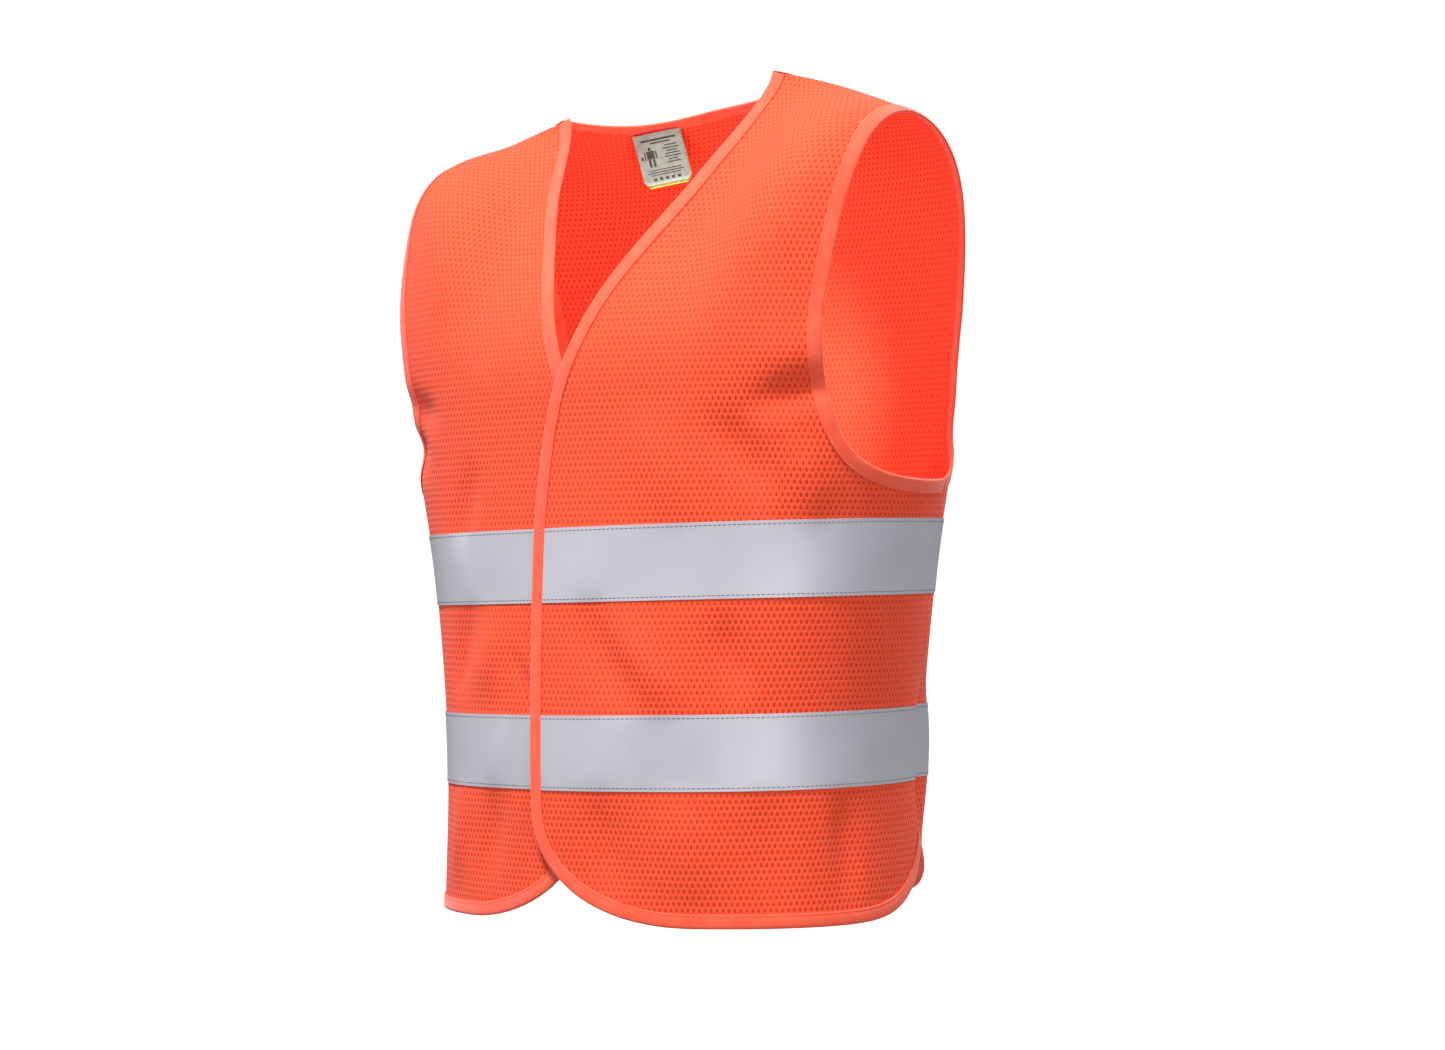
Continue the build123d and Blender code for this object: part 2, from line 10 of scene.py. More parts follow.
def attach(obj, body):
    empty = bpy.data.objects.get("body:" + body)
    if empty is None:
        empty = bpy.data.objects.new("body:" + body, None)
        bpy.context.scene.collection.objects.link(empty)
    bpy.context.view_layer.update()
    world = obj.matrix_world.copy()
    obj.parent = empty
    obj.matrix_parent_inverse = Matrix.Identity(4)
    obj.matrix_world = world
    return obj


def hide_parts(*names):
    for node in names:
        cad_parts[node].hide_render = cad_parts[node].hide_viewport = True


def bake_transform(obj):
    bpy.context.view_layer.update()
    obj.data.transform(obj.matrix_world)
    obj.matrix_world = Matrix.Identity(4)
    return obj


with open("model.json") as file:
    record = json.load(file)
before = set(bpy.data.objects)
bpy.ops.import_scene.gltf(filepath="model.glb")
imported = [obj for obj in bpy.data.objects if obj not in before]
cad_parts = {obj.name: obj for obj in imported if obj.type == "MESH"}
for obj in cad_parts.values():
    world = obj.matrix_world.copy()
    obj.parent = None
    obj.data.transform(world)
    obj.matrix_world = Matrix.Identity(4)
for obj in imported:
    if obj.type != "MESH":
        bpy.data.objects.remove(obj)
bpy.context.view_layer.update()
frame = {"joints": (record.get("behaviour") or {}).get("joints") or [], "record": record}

# High visibility vest.  The shape is in millimetres, placed from the torso mount; the scene is in metres.
# Places on the cloth are (angle, row): angle 0 = wearer's left side, -90 = front, +90 = back;
# row 0 = under the hem, 1 = chest, 2 = shoulder line.
MM = 0.001
TORSO = next(m for m in frame["record"]["mounts"] if m["name"] == "wearer_torso")
ORIGIN = np.array(TORSO["pos_m"])
SIDES = ("left", "right", "back")

# Body shape: (height, value) stations
HALF_WIDTH = ((-40, 177), (0, 176), (110, 172), (230, 185), (310, 202), (400, 217), (430, 218), (600, 218))
FRONT_DEPTH = ((-40, 125), (0, 125), (110, 129), (230, 127), (310, 126), (400, 128), (600, 129))
BACK_DEPTH = ((-40, 129), (0, 130), (110, 134), (230, 130), (310, 124), (400, 128), (600, 132))
SQUARENESS = 0.0227
HANG_AT_HEM = 0.017
HANG_PER_MM = 0.00007
LOWEST_LEVEL = -12
CHEST_HEIGHT = 350
CHEST_TO_TOP = 200
SHOULDER_LINE = ((-235, 490), (-189, 522), (-89, 550.5), (0, 576), (89, 572), (189, 540), (235, 505))
SHOULDER_FORWARD = 22
SHOULDER_HALF = 200
NECK_CURVE_END = 80
ARM_CURVE_START = 180
FRONT_NECK_POWER, FRONT_NECK_CLOSE = 2.0, 1.45
BACK_NECK_POWER, BACK_NECK_CLOSE = 3.3, 0.5
ARM_POWER, ARM_CLOSE = 5.0, 0.5

# Edges
CLOSURE_CENTRE = ((-40, -6), (370, -6), (540, 0), (700, 0))
FRONT_GAP = (
    (-40, -21), (140, -21), (215, -21), (268, -19.5), (294, -17), (321, -13), (345, -7.5), (370, 1),
    (410, 18), (440, 32), (470, 47), (500, 62), (540, 79), (561, 87), (580, 90), (640, 92),
)
OVERLAP_LIFT = 5.0
LIFT_FULL_X, LIFT_END_X = 10, 80
CORNER_WIDE, CORNER_TALL = 115, 75
ARMHOLE_UPPER = (
    (318, 178), (341, 174), (362, 172.5), (385, 173), (409, 176),
    (453, 182), (494, 187), (531, 189), (560, 190),
)
FRONT_ARMPIT = ((-60, 304.5), (-46, 296), (-30, 291.5), (-12, 289.3), (8, 288.6))
BACK_ARMPIT = ((75, 322), (66, 309.5), (56, 300.5), (44, 293.5))
ARMPIT_AT_SEAM = 289.5
SHOULDER_END = 189
NECK_HALF, NECK_Y, NECK_DEPTH, NECK_POWER = 89, -15, 65, 2.2
SEAM_Y_AT_HEM, SEAM_Y_AT_ARMHOLE = 60, 32
ARMHOLE_BOTTOM = 292
HEM_PEAK_Y, HEM_RISE, HEM_REACH, HEM_POWER = 55, 50, 130, 4
ARMHOLE_TOP, ARMHOLE_STEP = 515, 14
FRONT_ARM_END, BACK_ARM_END = 318, 341
ARMPIT_HALF_DEPTH = 130
OPENING_STEP, OPENING_TOP_GAP, CORNER_CLEAR = 12, 10, 8
CORNER_TURNS, NECK_STEPS = 10, 24
HEM_PLACES, SEAM_PLACES = 25, 12
PATH_STEP = 2.5

# Cloth layers: heights above the body surface
CLOTH_GRID = 4.0
EDGE_CLEAR = CLOTH_GRID * 0.45
CLOTH_HEIGHT = 0.5
TAPE_UNDER, TAPE_OVER = 0.8, 1.2
TAPE_WIDTH = 50.0
CRISP_EDGE = math.radians(50)
LOWER_TAPE, UPPER_TAPE = 89.0, 214.0
TAPE_ROWS = 13
TAPE_UNDER_BINDING = 6.0
TAPE_STITCH_IN, TAPE_STITCH_UP = 2.2, 0.05
BINDING_STITCH_IN = 7.4
BINDING_OUTSIDE = (
    (9.2, 0.75), (8.7, 1.0), (7.9, 1.05), (7.4, 0.85), (6.7, 1.1),
    (5.0, 1.2), (2.5, 1.3), (0.8, 1.2), (-0.1, 0.9), (-0.5, 0.35),
)
BINDING_INSIDE = ((9.2, 0.3), (5.0, 0.7), (1.2, 0.75), (0.4, 0.3))
STITCH_LONG, STITCH_GAP, STITCH_THICK, STITCH_START = 2.5, 0.8, 0.42, 0.1
STITCH_STATIONS = (0.0, 0.2, 0.8, 1.0)
STITCH_SHARES = (0.45, 1.0, 1.0, 0.45)
STITCH_AROUND = 6
BINDING_STITCH_HIGH = 0.95
FLAT_DEGREE, FLAT_LOWER, FLAT_UPPER = 3.3, 362.0, 240.0
TAPE_COLUMNS = {"left": 96, "right": 84, "back": 144}

# Closure pads, seams and care label
PAD_X = (-16, 4)
PAD_TALL = 40
PAD_LEVELS, PAD_COLUMNS = 20, 12
PILE_IN, PAD_STITCH_IN = 2.5, 1.3
HOOK_BACKING, LOOP_BACKING = (-0.65, 0.0), (1.25, 1.75)
PAD_PILE = 0.55
BRISTLE_WIDE, BRISTLE_TAPER, BRISTLE_LEAN = 0.22, 0.7, (0.25, 0, 0.25)
SQUARE = ((-1, -1), (1, -1), (1, 1), (-1, 1))
SEAM_ACROSS, SEAM_END = (0, 4, 8), 12
SIDE_SEAM_ROWS, SHOULDER_SEAM_ROWS = 60, 40
SEAM_BACKING = (-0.75, -0.05)
OVERLOCK_STEP, TOPSTITCH_UP = 1.2, 0.2
LABEL_WIDE, LABEL_TALL, LABEL_CORNER = 36, 38, 3
LABEL_LEAN = 22
LABEL_BOW, LABEL_CURL = -1.2, 1.5
LABEL_STEPS = 13
LABEL_LAYER, BEHIND_LAYER = (0.25, 0), (-0.1, -0.35)
BEHIND_LONGER, BEHIND_NARROWER = 2.2, 1
PRINT_OUT = 0.32
FLAP = next(j for j in frame["joints"] if j["name"] == "label_flap")
LABEL_PLACE = (np.array(FLAP["pos_m"]) - ORIGIN) / MM
LABEL_ACROSS = -np.array(FLAP["axis"])
LABEL_BACK = np.cross((0, 0, 1), LABEL_ACROSS)
LABEL_BACK = LABEL_BACK / np.linalg.norm(LABEL_BACK)
LABEL_DOWN = np.cross(LABEL_BACK, LABEL_ACROSS)

# Finishes: holes of the mesh in millimetres, colours in linear light
HOLE_PITCH, HOLE_ROW = 3.9, 4.2
HOLE_WIDE, HOLE_TALL = 1.2, 2.2
# The eyelets are not cut through: each hole's darker orange is painted shade for the shadowed inside of the vest
# seen through it, spread over the colour reach below
EYELET_PAINTED_SHADE_REACH, EYELET_RELIEF_REACH = (0.6, 1.35), (0.7, 2.2)
NET_DEPTH, RIB_DEPTH, BEAD_DEPTH = 0.0006, 0.0001, 0.00012
RIB_PITCH = 0.9
MOTTLE = (0.3, 0.7)
MESH_HOLE_PAINTED_SHADE, MESH_LIGHT = (0.52, 0.032, 0.013), (1.0, 0.094, 0.036)
BINDING_DARK, BINDING_LIGHT = (1.0, 0.10, 0.045), (1.0, 0.125, 0.058)
TAPE_TURNED = (0.05, 0.055, 0.05, 1.0)
TAPE_DARK, TAPE_LIGHT = (0.66, 0.64, 0.71), (0.72, 0.70, 0.78)

# Plain finishes: piece, (material name, dark, light, grain scale, grain depth), other settings
PLAIN_CLOTHS = (
    ("orange_thread", ("orange_thread", (0.85, 0.12, 0.06), (1.0, 0.18, 0.09), 900, 0.0001), {}),
    ("grey_thread", ("grey_thread", (0.07, 0.075, 0.07), (0.13, 0.14, 0.13), 900, 0.0001), {}),
    ("hook", ("hook_orange", (0.75, 0.09, 0.04), (0.95, 0.13, 0.06), 700, 0.0002), {"roughness": 0.5}),
    ("loop", ("loop_orange", (0.8, 0.09, 0.04), (0.95, 0.14, 0.07), 500, 0.0004), {"sheen": 0.4}),
    ("label", ("label_satin", (0.29, 0.41, 0.35), (0.36, 0.49, 0.42), 300, 0.0001), {"roughness": 0.55}),
    ("label_behind", ("label_yellow", (0.55, 0.62, 0.10), (0.66, 0.72, 0.16), 300, 0.0001), {}),
    ("print", ("label_print", (0.05, 0.055, 0.05), (0.10, 0.11, 0.10), 400, 0.00005), {}),
)

# Studio: lights as (name, azimuth, height, distance, size, power)
VEST_MIDDLE = 0.29
WORLD_LIGHT, WORLD_SEEN = 0.40, 1.1
FLOOR_HALF, FLOOR_HEIGHT, FLOOR_GLOW = 60.0, -0.45, 0.85
FLOOR_GREYS = (0.86, 0.86, 0.86), (0.9, 0.9, 0.9)
LIGHTS = (
    ("key", 4, 2.9, 1.4, 0.6, 128),
    ("front", 52, 0.9, 3.0, 1.0, 20),
    ("right_fill", -60, 1.6, 2.6, 1.0, 12),
    ("behind", 170, 1.6, 2.4, 1.0, 30),
)
GLOW_PLACE, GLOW_SIZE, GLOW_POWER = (0.0, -0.02, 0.40), 0.09, 0.65
CAMERA_AZIMUTH, CAMERA_LENS = 35, 85.75
CAMERA_DISTANCE, CAMERA_ASIDE, CAMERA_HEIGHT = 2.397, 0.029, 0.2656

# Soft folds: (across, height) of both ends, half width, height (negative = valley).
# Across runs round the body from the middle of the front or back, about 3.2 mm a degree.
FOLD_DEGREE = 3.2
FOLD_FADE, SHOULDER_FADE = 0.45, 0.15
FOLDS = {
    "left": (
        ((196, 362), (100, 340), 11, -4.4), ((196, 388), (96, 370), 18, 3.5),
        ((84, 350), (146, 274), 14, -5.5), ((38, 352), (82, 256), 16, 3.5), ((150, 330), (186, 262), 16, 3.0),
        ((6, 226), (54, 130), 13, -5.0), ((26, 216), (88, 132), 14, 4.5), ((104, 214), (138, 144), 14, -4.0),
        ((22, 102), (38, 4), 16, -4.5), ((84, 102), (96, 4), 22, 3.5), ((150, 102), (158, 4), 18, -2.5),
        ((226, 102), (232, 6), 16, -4.0), ((250, 226), (270, 166), 5, 1.6), ((380, 25), (350, 180), 16, -9.0),
        ((60, 520), (40, 400), 26, -3.5), ((150, 540), (120, 420), 26, 3.0),
    ),
    "right": (
        ((-200, 470), (-196, 310), 42, 7.0), ((-235, 322), (-120, 318), 16, -6.0),
        ((-188, 352), (-104, 340), 12, -4.5), ((-72, 318), (-108, 238), 12, -3.5),
        ((-86, 222), (-130, 138), 14, -4.0), ((-56, 210), (-90, 140), 14, 3.2),
        ((-52, 188), (-20, 128), 5, -3.0), ((-48, 144), (-82, 76), 8, 1.6),
        ((-114, 98), (-132, 10), 14, 3.2), ((-64, 98), (-82, 10), 14, -3.6),
        ((-40, 500), (-30, 390), 24, -3.0), ((-120, 520), (-90, 400), 26, 3.0),
    ),
    "back": (
        ((-60, 340), (-36, 40), 30, -3.5), ((70, 310), (46, 20), 28, 3.5),
        ((-150, 310), (-140, 40), 18, 3.0), ((150, 340), (112, 230), 20, -4.0),
        ((-160, 360), (-96, 280), 16, -4.0), ((172, 178), (164, 30), 16, 6.0),
        ((196, 25), (226, 180), 16, -9.0), ((-20, 500), (60, 400), 24, -2.5),
        ((120, 480), (60, 330), 22, 3.0),
    ),
}
WAVES = ((38, 90, 0.4, 0.45), (-61, 130, 2.0, 0.5))

# Searches on the cloth: the steps that slopes are measured over, the tries, and the most moved in one try
SKIN_LIMIT = 1.99
DEGREE = 0.1
ROW_BIT = 0.002
TRIES = 12
MOST_TURN, MOST_ROW, MOST_LEVEL_TURN = 12, 0.15, 15
SEAM_GUESS = {1: 20, -1: 160}
SHOULDER_GUESS_TURN, CORNER_GUESS_TURN = 60, 5
SHOULDER_GUESS_ROW = 1.95
ARM_GUESS = {1: 30, -1: 150}
NECK_GUESS = (40, 1.97)
RUN_SAMPLES = 21


def profile(stations, at):
    """Smooth values between (position, value) stations."""
    spots, values = np.array(stations, float).T
    order = np.arange(len(spots))
    before = np.maximum(order - 1, 0)
    after = np.minimum(order + 1, len(spots) - 1)
    slopes = (values[after] - values[before]) / (spots[after] - spots[before])
    at = np.clip(at, spots[0], spots[-1])
    i = np.clip(np.searchsorted(spots, at, side="right") - 1, 0, len(spots) - 2)
    step = spots[i + 1] - spots[i]
    t = (at - spots[i]) / step
    start = (1 + 2 * t) * (1 - t) ** 2 * values[i] + t * (1 - t) ** 2 * step * slopes[i]
    end = t * t * (3 - 2 * t) * values[i + 1] + t * t * (t - 1) * step * slopes[i + 1]
    return start + end


def smooth(t):
    """0 to 1 with flat ends."""
    t = np.clip(t, 0, 1)
    return t * t * (3 - 2 * t)


def hang(x, z):
    """Height after the vest's small sideways hang."""
    return z + (HANG_AT_HEM + HANG_PER_MM * z) * x


def body_skin(angle, row, side):
    """Smooth body surface under the cloth, without folds."""
    a = np.radians(angle)
    rise = np.maximum(np.minimum(row, 2) - 1, 0)
    climb = np.sin(math.pi / 2 * rise)
    level = LOWEST_LEVEL + (CHEST_HEIGHT - LOWEST_LEVEL) * np.minimum(row, 1) + CHEST_TO_TOP * climb
    half = profile(HALF_WIDTH, level)
    deep = np.where(np.sin(a) < 0, profile(FRONT_DEPTH, level), profile(BACK_DEPTH, level))
    x = half * (np.cos(a) - SQUARENESS * np.cos(3 * a)) / (1 - SQUARENESS)
    y = deep * (np.sin(a) + SQUARENESS * np.sin(3 * a)) / (1 - SQUARENESS)
    front = side != "back"
    out = smooth((np.abs(x) - NECK_CURVE_END) / (ARM_CURVE_START - NECK_CURVE_END))
    power = FRONT_NECK_POWER if front else BACK_NECK_POWER
    close = FRONT_NECK_CLOSE if front else BACK_NECK_CLOSE
    power = power + (ARM_POWER - power) * out
    close = close + (ARM_CLOSE - close) * out
    if front:
        climb = rise + (climb - rise) * out
    keep = np.maximum(1 - climb ** power, 0) ** close
    top_y = -SHOULDER_FORWARD * np.cos(math.pi / 2 * np.minimum(np.abs(x) / SHOULDER_HALF, 1))
    chest = hang(x, CHEST_HEIGHT)
    z = np.where(row <= 1, hang(x, level), chest + (profile(SHOULDER_LINE, x) - chest) * climb)
    y = y * keep + top_y * (1 - keep)
    if side == "left":
        y = y - OVERLAP_LIFT * (1 - smooth((x - LIFT_FULL_X) / (LIFT_END_X - LIFT_FULL_X)))
    return np.stack([x, y, z], -1)


def unit(vectors):
    return vectors / np.maximum(np.linalg.norm(vectors, axis=-1, keepdims=True), 1e-9)


def outward(angle, row, side):
    """Unit direction away from the body."""
    across = body_skin(angle + 2 * DEGREE, row, side) - body_skin(angle - 2 * DEGREE, row, side)
    below = np.maximum(np.minimum(row, SKIN_LIMIT) - 5 * ROW_BIT, 0)
    along = body_skin(angle, below + 5 * ROW_BIT, side) - body_skin(angle, below, side)
    return unit(np.cross(across, along))


def fold_height(angle, points, side):
    """How far the cloth's folds stand off the body surface."""
    across = (90 - angle if side == "back" else angle + 90) * FOLD_DEGREE
    up = points[..., 2]
    height = np.zeros(up.shape)
    for (x0, z0), (x1, z1), width, tall in FOLDS[side]:
        dx, dz = x1 - x0, z1 - z0
        length = math.hypot(dx, dz)
        along = ((across - x0) * dx + (up - z0) * dz) / length ** 2
        off = ((across - x0) * dz - (up - z0) * dx) / length
        ends = smooth(along / FOLD_FADE) * smooth((1 - along) / FOLD_FADE)
        height = height + tall * ends * np.exp(-(off / width) ** 2)
    for wave_x, wave_z, turn, tall in WAVES:
        height = height + tall * np.sin(points[..., 0] / wave_x + up / wave_z + turn)
    return height


def place(angle, row, side, lift):
    """Points of the cloth in millimetres, a height above the folded surface."""
    points = body_skin(angle, row, side)
    height = fold_height(angle, points, side) * smooth((2 - row) / SHOULDER_FADE) + lift
    return points + outward(angle, row, side) * np.asarray(height)[..., None]


def level_row(level):
    """Row of a height at or below the chest."""
    return (level - LOWEST_LEVEL) / (CHEST_HEIGHT - LOWEST_LEVEL)


def locate(target, axes, start, side):
    """Angle and row whose point has the target's two named coordinates."""
    angle, row = start
    for _ in range(TRIES):
        here = body_skin(angle, row, side)[axes]
        turn = (body_skin(angle + DEGREE, row, side)[axes] - here) / DEGREE
        sign = 1 if row < SKIN_LIMIT else -1
        rise = (body_skin(angle, row + sign * ROW_BIT, side)[axes] - here) / (sign * ROW_BIT)
        miss = np.array(target) - here
        scale = turn[0] * rise[1] - turn[1] * rise[0]
        angle += np.clip((miss[0] * rise[1] - miss[1] * rise[0]) / scale, -MOST_TURN, MOST_TURN)
        row += np.clip((turn[0] * miss[1] - turn[1] * miss[0]) / scale, -MOST_ROW, MOST_ROW)
        row = min(max(row, 0), 2)
    return angle, row


def angle_at(axis, value, level, side, guess):
    """Angle whose point at a level has a given X or Y."""
    row = level_row(level)
    angle = guess
    for _ in range(TRIES):
        here = body_skin(angle, row, side)[axis]
        slope = body_skin(angle + DEGREE, row, side)[axis] - here
        angle += np.clip((value - here) / slope * DEGREE, -MOST_LEVEL_TURN, MOST_LEVEL_TURN)
    return angle


def seam_y(level):
    return SEAM_Y_AT_HEM + (SEAM_Y_AT_ARMHOLE - SEAM_Y_AT_HEM) * level / ARMHOLE_BOTTOM


def hem_level(y):
    return HEM_RISE * max(1 - abs(y - HEM_PEAK_Y) / HEM_REACH, 0) ** HEM_POWER


def opening_x(sign, z):
    return profile(CLOSURE_CENTRE, z) + sign * profile(FRONT_GAP, z)


def seam_angle(sign, level, side):
    """Angle of the side seam at a level."""
    return angle_at(1, seam_y(level), level, side, SEAM_GUESS[sign])


def opening_path(side):
    """Neckline, front edge and rounded hem corner of a front panel, top to bottom."""
    sign = 1 if side == "left" else -1
    x = sign * NECK_HALF
    for _ in range(5):
        x = opening_x(sign, profile(SHOULDER_LINE, x))
    top = profile(SHOULDER_LINE, x)
    here = locate((x, top), [0, 2], (-90 + sign * SHOULDER_GUESS_TURN, SKIN_LIMIT), side)
    path = [(here[0], 2)]
    z = top - OPENING_TOP_GAP
    while z > CORNER_TALL + CORNER_CLEAR:
        here = locate((opening_x(sign, z), z), [0, 2], here, side)
        path.append(here)
        z -= OPENING_STEP
    centre_x = opening_x(sign, 0) + sign * CORNER_WIDE
    for step in range(CORNER_TURNS + 1):
        turn = math.radians(90 - 90 / CORNER_TURNS * step)
        x = centre_x - sign * CORNER_WIDE * math.sin(turn)
        level = CORNER_TALL * (1 - math.cos(turn))
        path.append((angle_at(0, x, level, side, -90 + sign * CORNER_GUESS_TURN), level_row(level)))
    return path


def hem_path(start, end, side):
    """Hem from one angle to another, rising towards the side seam."""
    path = []
    for angle in np.linspace(start, end, HEM_PLACES):
        level = 0
        for _ in range(3):
            level = hem_level(body_skin(angle, level_row(level), side)[1])
        path.append((angle, level_row(level)))
    return path


def armhole_path(sign, side):
    """Armhole edge from the shoulder line down to the side seam."""
    face = 1 if side == "back" else -1
    top = profile(SHOULDER_LINE, sign * SHOULDER_END)
    here = locate((sign * SHOULDER_END, top), [0, 2], (face * ARM_GUESS[sign], SKIN_LIMIT), side)
    path = [(here[0], 2)]
    armpit = BACK_ARMPIT if side == "back" else FRONT_ARMPIT
    lowest = BACK_ARM_END if side == "back" else FRONT_ARM_END
    level = ARMHOLE_TOP
    while level >= lowest:
        x = sign * profile(ARMHOLE_UPPER, level)
        here = locate((x, hang(x, level)), [0, 2], here, side)
        path.append(here)
        level -= ARMHOLE_STEP
    for y, level in (*armpit, (seam_y(ARMPIT_AT_SEAM), ARMPIT_AT_SEAM)):
        guess = math.degrees(math.asin(y / ARMPIT_HALF_DEPTH))
        guess = guess if sign > 0 else 180 - guess
        path.append((angle_at(1, y, level, side, guess), level_row(level)))
    return path


def neck_path():
    """Back neckline from the wearer's left to the right."""
    path = []
    here = NECK_GUESS
    for i in range(NECK_STEPS + 1):
        turn = math.pi * i / NECK_STEPS
        across = math.copysign(abs(math.cos(turn)) ** (2 / NECK_POWER), math.cos(turn))
        y = NECK_Y + NECK_DEPTH * abs(math.sin(turn)) ** (2 / NECK_POWER)
        here = locate((NECK_HALF * across, y), [0, 1], here, "back")
        path.append(here)
    path[0] = (path[0][0], 2)
    path[-1] = (path[-1][0], 2)
    return path


def seam_path(sign, side, low, high):
    """Side seam from one level up to another."""
    levels = np.linspace(low, high, SEAM_PLACES)
    return [(seam_angle(sign, level, side), level_row(level)) for level in levels]


def fine(path, side, step=PATH_STEP):
    """The same path with smooth, evenly spaced places."""
    path = np.array(path, float)
    points = body_skin(path[:, 0], path[:, 1], side)
    run = np.concatenate([[0], np.cumsum(np.linalg.norm(np.diff(points, axis=0), axis=1))])
    keep = np.concatenate([[True], np.diff(run) > 1e-6])
    path, run = path[keep], run[keep]
    at = np.linspace(0, run[-1], max(int(run[-1] / step), 4) + 1)
    columns = [profile(np.stack([run, path[:, k]], -1), at) for k in (0, 1)]
    return np.stack(columns, -1)


def step_in(path, distance, turn, side):
    """The path moved over the surface by a distance, to the panel's side of the edge."""
    angle, row = path.T
    points = body_skin(angle, row, side)
    along = unit(np.gradient(points, axis=0))
    inward = unit(np.cross(outward(angle, row, side), along)) * distance * turn
    by_angle = (body_skin(angle + DEGREE, row, side) - body_skin(angle - DEGREE, row, side)) / (2 * DEGREE)
    low = np.minimum(row, 2 - 2 * ROW_BIT)
    by_row = (body_skin(angle, low + ROW_BIT, side) - body_skin(angle, low - ROW_BIT, side)) / (2 * ROW_BIT)
    aa, ar, rr = (by_angle ** 2).sum(-1), (by_angle * by_row).sum(-1), (by_row ** 2).sum(-1)
    ia, ir = (inward * by_angle).sum(-1), (inward * by_row).sum(-1)
    scale = aa * rr - ar ** 2
    angle = angle + (ia * rr - ir * ar) / scale
    row = np.minimum(row + (ir * aa - ia * ar) / scale, 2)
    return np.stack([angle, row], -1)


def turned(path, sign):
    """The wearer's right side counts its angles down past the front."""
    return [(a if sign > 0 or a < 0 else a - 360, row) for a, row in path]


def flat(path):
    """Places as points of a flat sheet, in about the cloth's own millimetres."""
    angle, row = np.asarray(path, float).T
    up = np.where(row < 1, row * FLAT_LOWER, FLAT_LOWER + (row - 1) * FLAT_UPPER)
    return np.stack([angle * FLAT_DEGREE, up], -1)


def unflat(points):
    across, up = points.T
    row = np.where(up < FLAT_LOWER, up / FLAT_LOWER, 1 + (up - FLAT_LOWER) / FLAT_UPPER)
    return np.stack([across / FLAT_DEGREE, np.minimum(row, 2)], -1)


def surface_run(start, end, side):
    """Length over the cloth from each start place to its end place."""
    share = np.linspace(0, 1, RUN_SAMPLES)[None, :, None]
    between = start[:, None, :] + (end - start)[:, None, :] * share
    points = body_skin(between[..., 0], between[..., 1], side)
    return np.linalg.norm(np.diff(points, axis=1), axis=-1).sum(1)


def cloth_run(places, side):
    """Distance across and up the cloth, in millimetres: what the weave follows."""
    middle = 90 if side == "back" else -90
    level_start = np.stack([np.full(len(places), middle), places[:, 1]], -1)
    foot = np.stack([places[:, 0], np.zeros(len(places))], -1)
    across = surface_run(level_start, places, side) * np.sign(places[:, 0] - middle)
    up = surface_run(foot, places, side)
    return np.stack([across, up, np.zeros(len(places))], -1)


def mesh(name, points, faces, weave=None):
    """A smooth mesh from points in the vest's millimetres."""
    data = bpy.data.meshes.new(name)
    data.from_pydata((np.asarray(points) * MM + ORIGIN).tolist(), [], faces)
    data.shade_smooth()
    if weave is not None:
        run = data.attributes.new("weave", "FLOAT_VECTOR", "POINT")
        run.data.foreach_set("vector", np.asarray(weave, np.float32).ravel())
    data.update()
    made = bpy.data.objects.new(name, data)
    bpy.context.scene.collection.objects.link(made)
    return made


def dress(piece, side, slot, material, *nodes):
    """Gives a piece its material and the body it moves with."""
    piece.data.materials.append(material)
    if nodes:
        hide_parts(*nodes)
    if side == "back":
        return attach(piece, "back")
    if side == "label":
        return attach(piece, "label")
    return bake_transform(piece)


def panel_outline(side):
    """Closed edge of a panel as fine places."""
    sign = -1 if side == "right" else 1
    if side == "back":
        arms = [fine(armhole_path(s, side), side) for s in (1, -1)]
        hem = fine(hem_path(seam_angle(1, HEM_RISE, side), seam_angle(-1, HEM_RISE, side), side), side)
        seams = [fine(seam_path(s, side, HEM_RISE, ARMPIT_AT_SEAM), side) for s in (1, -1)]
        neck = fine(neck_path(), side)
        shoulder_ends = ((neck[0][0], arms[0][0][0]), (arms[1][0][0], neck[-1][0]))
        shoulders = [fine([(start, 2), (end, 2)], side) for start, end in shoulder_ends]
        parts = [shoulders[0], arms[0], seams[0][::-1], hem]
        parts += [seams[1], arms[1][::-1], shoulders[1], neck[::-1]]
    else:
        edge = fine(front_edge(side), side)
        seam = fine(turned(seam_path(sign, side, HEM_RISE, ARMPIT_AT_SEAM), sign), side)
        arm = fine(turned(armhole_path(sign, side), sign), side)
        shoulder = fine([(arm[0][0], 2), (edge[0][0], 2)], side)
        parts = [edge, seam, arm[::-1], shoulder]
    return np.concatenate([part[:-1] for part in parts])


def front_edge(side):
    """Neckline, opening and hem of a front in one run."""
    sign = 1 if side == "left" else -1
    opening = opening_path(side)
    peak = seam_angle(sign, HEM_RISE, side)
    hem = hem_path(opening[-1][0], peak if sign > 0 else peak - 360, side)
    return opening + hem[1:]


def inner_points(border):
    """Grid points inside a closed outline, row by row."""
    following = np.roll(border, -1, axis=0)
    low, high = border.min(0), border.max(0)
    near = KDTree(len(border))
    for i, point in enumerate(border):
        near.insert((*point, 0), i)
    near.balance()
    kept = []
    for k, up in enumerate(np.arange(low[1] + CLOTH_GRID / 2, high[1], CLOTH_GRID)):
        crossing = (border[:, 1] > up) != (following[:, 1] > up)
        first, second = border[crossing], following[crossing]
        ends = np.sort(first[:, 0] + (up - first[:, 1]) * (second - first)[:, 0] / (second - first)[:, 1])
        shift = CLOTH_GRID / 2 * (k % 2)
        for start, end in zip(ends[::2], ends[1::2]):
            row = np.arange(math.ceil((start - shift) / CLOTH_GRID) * CLOTH_GRID + shift, end, CLOTH_GRID)
            kept += [(x, up) for x in row if near.find((x, up, 0))[2] > EDGE_CLEAR]
    return kept


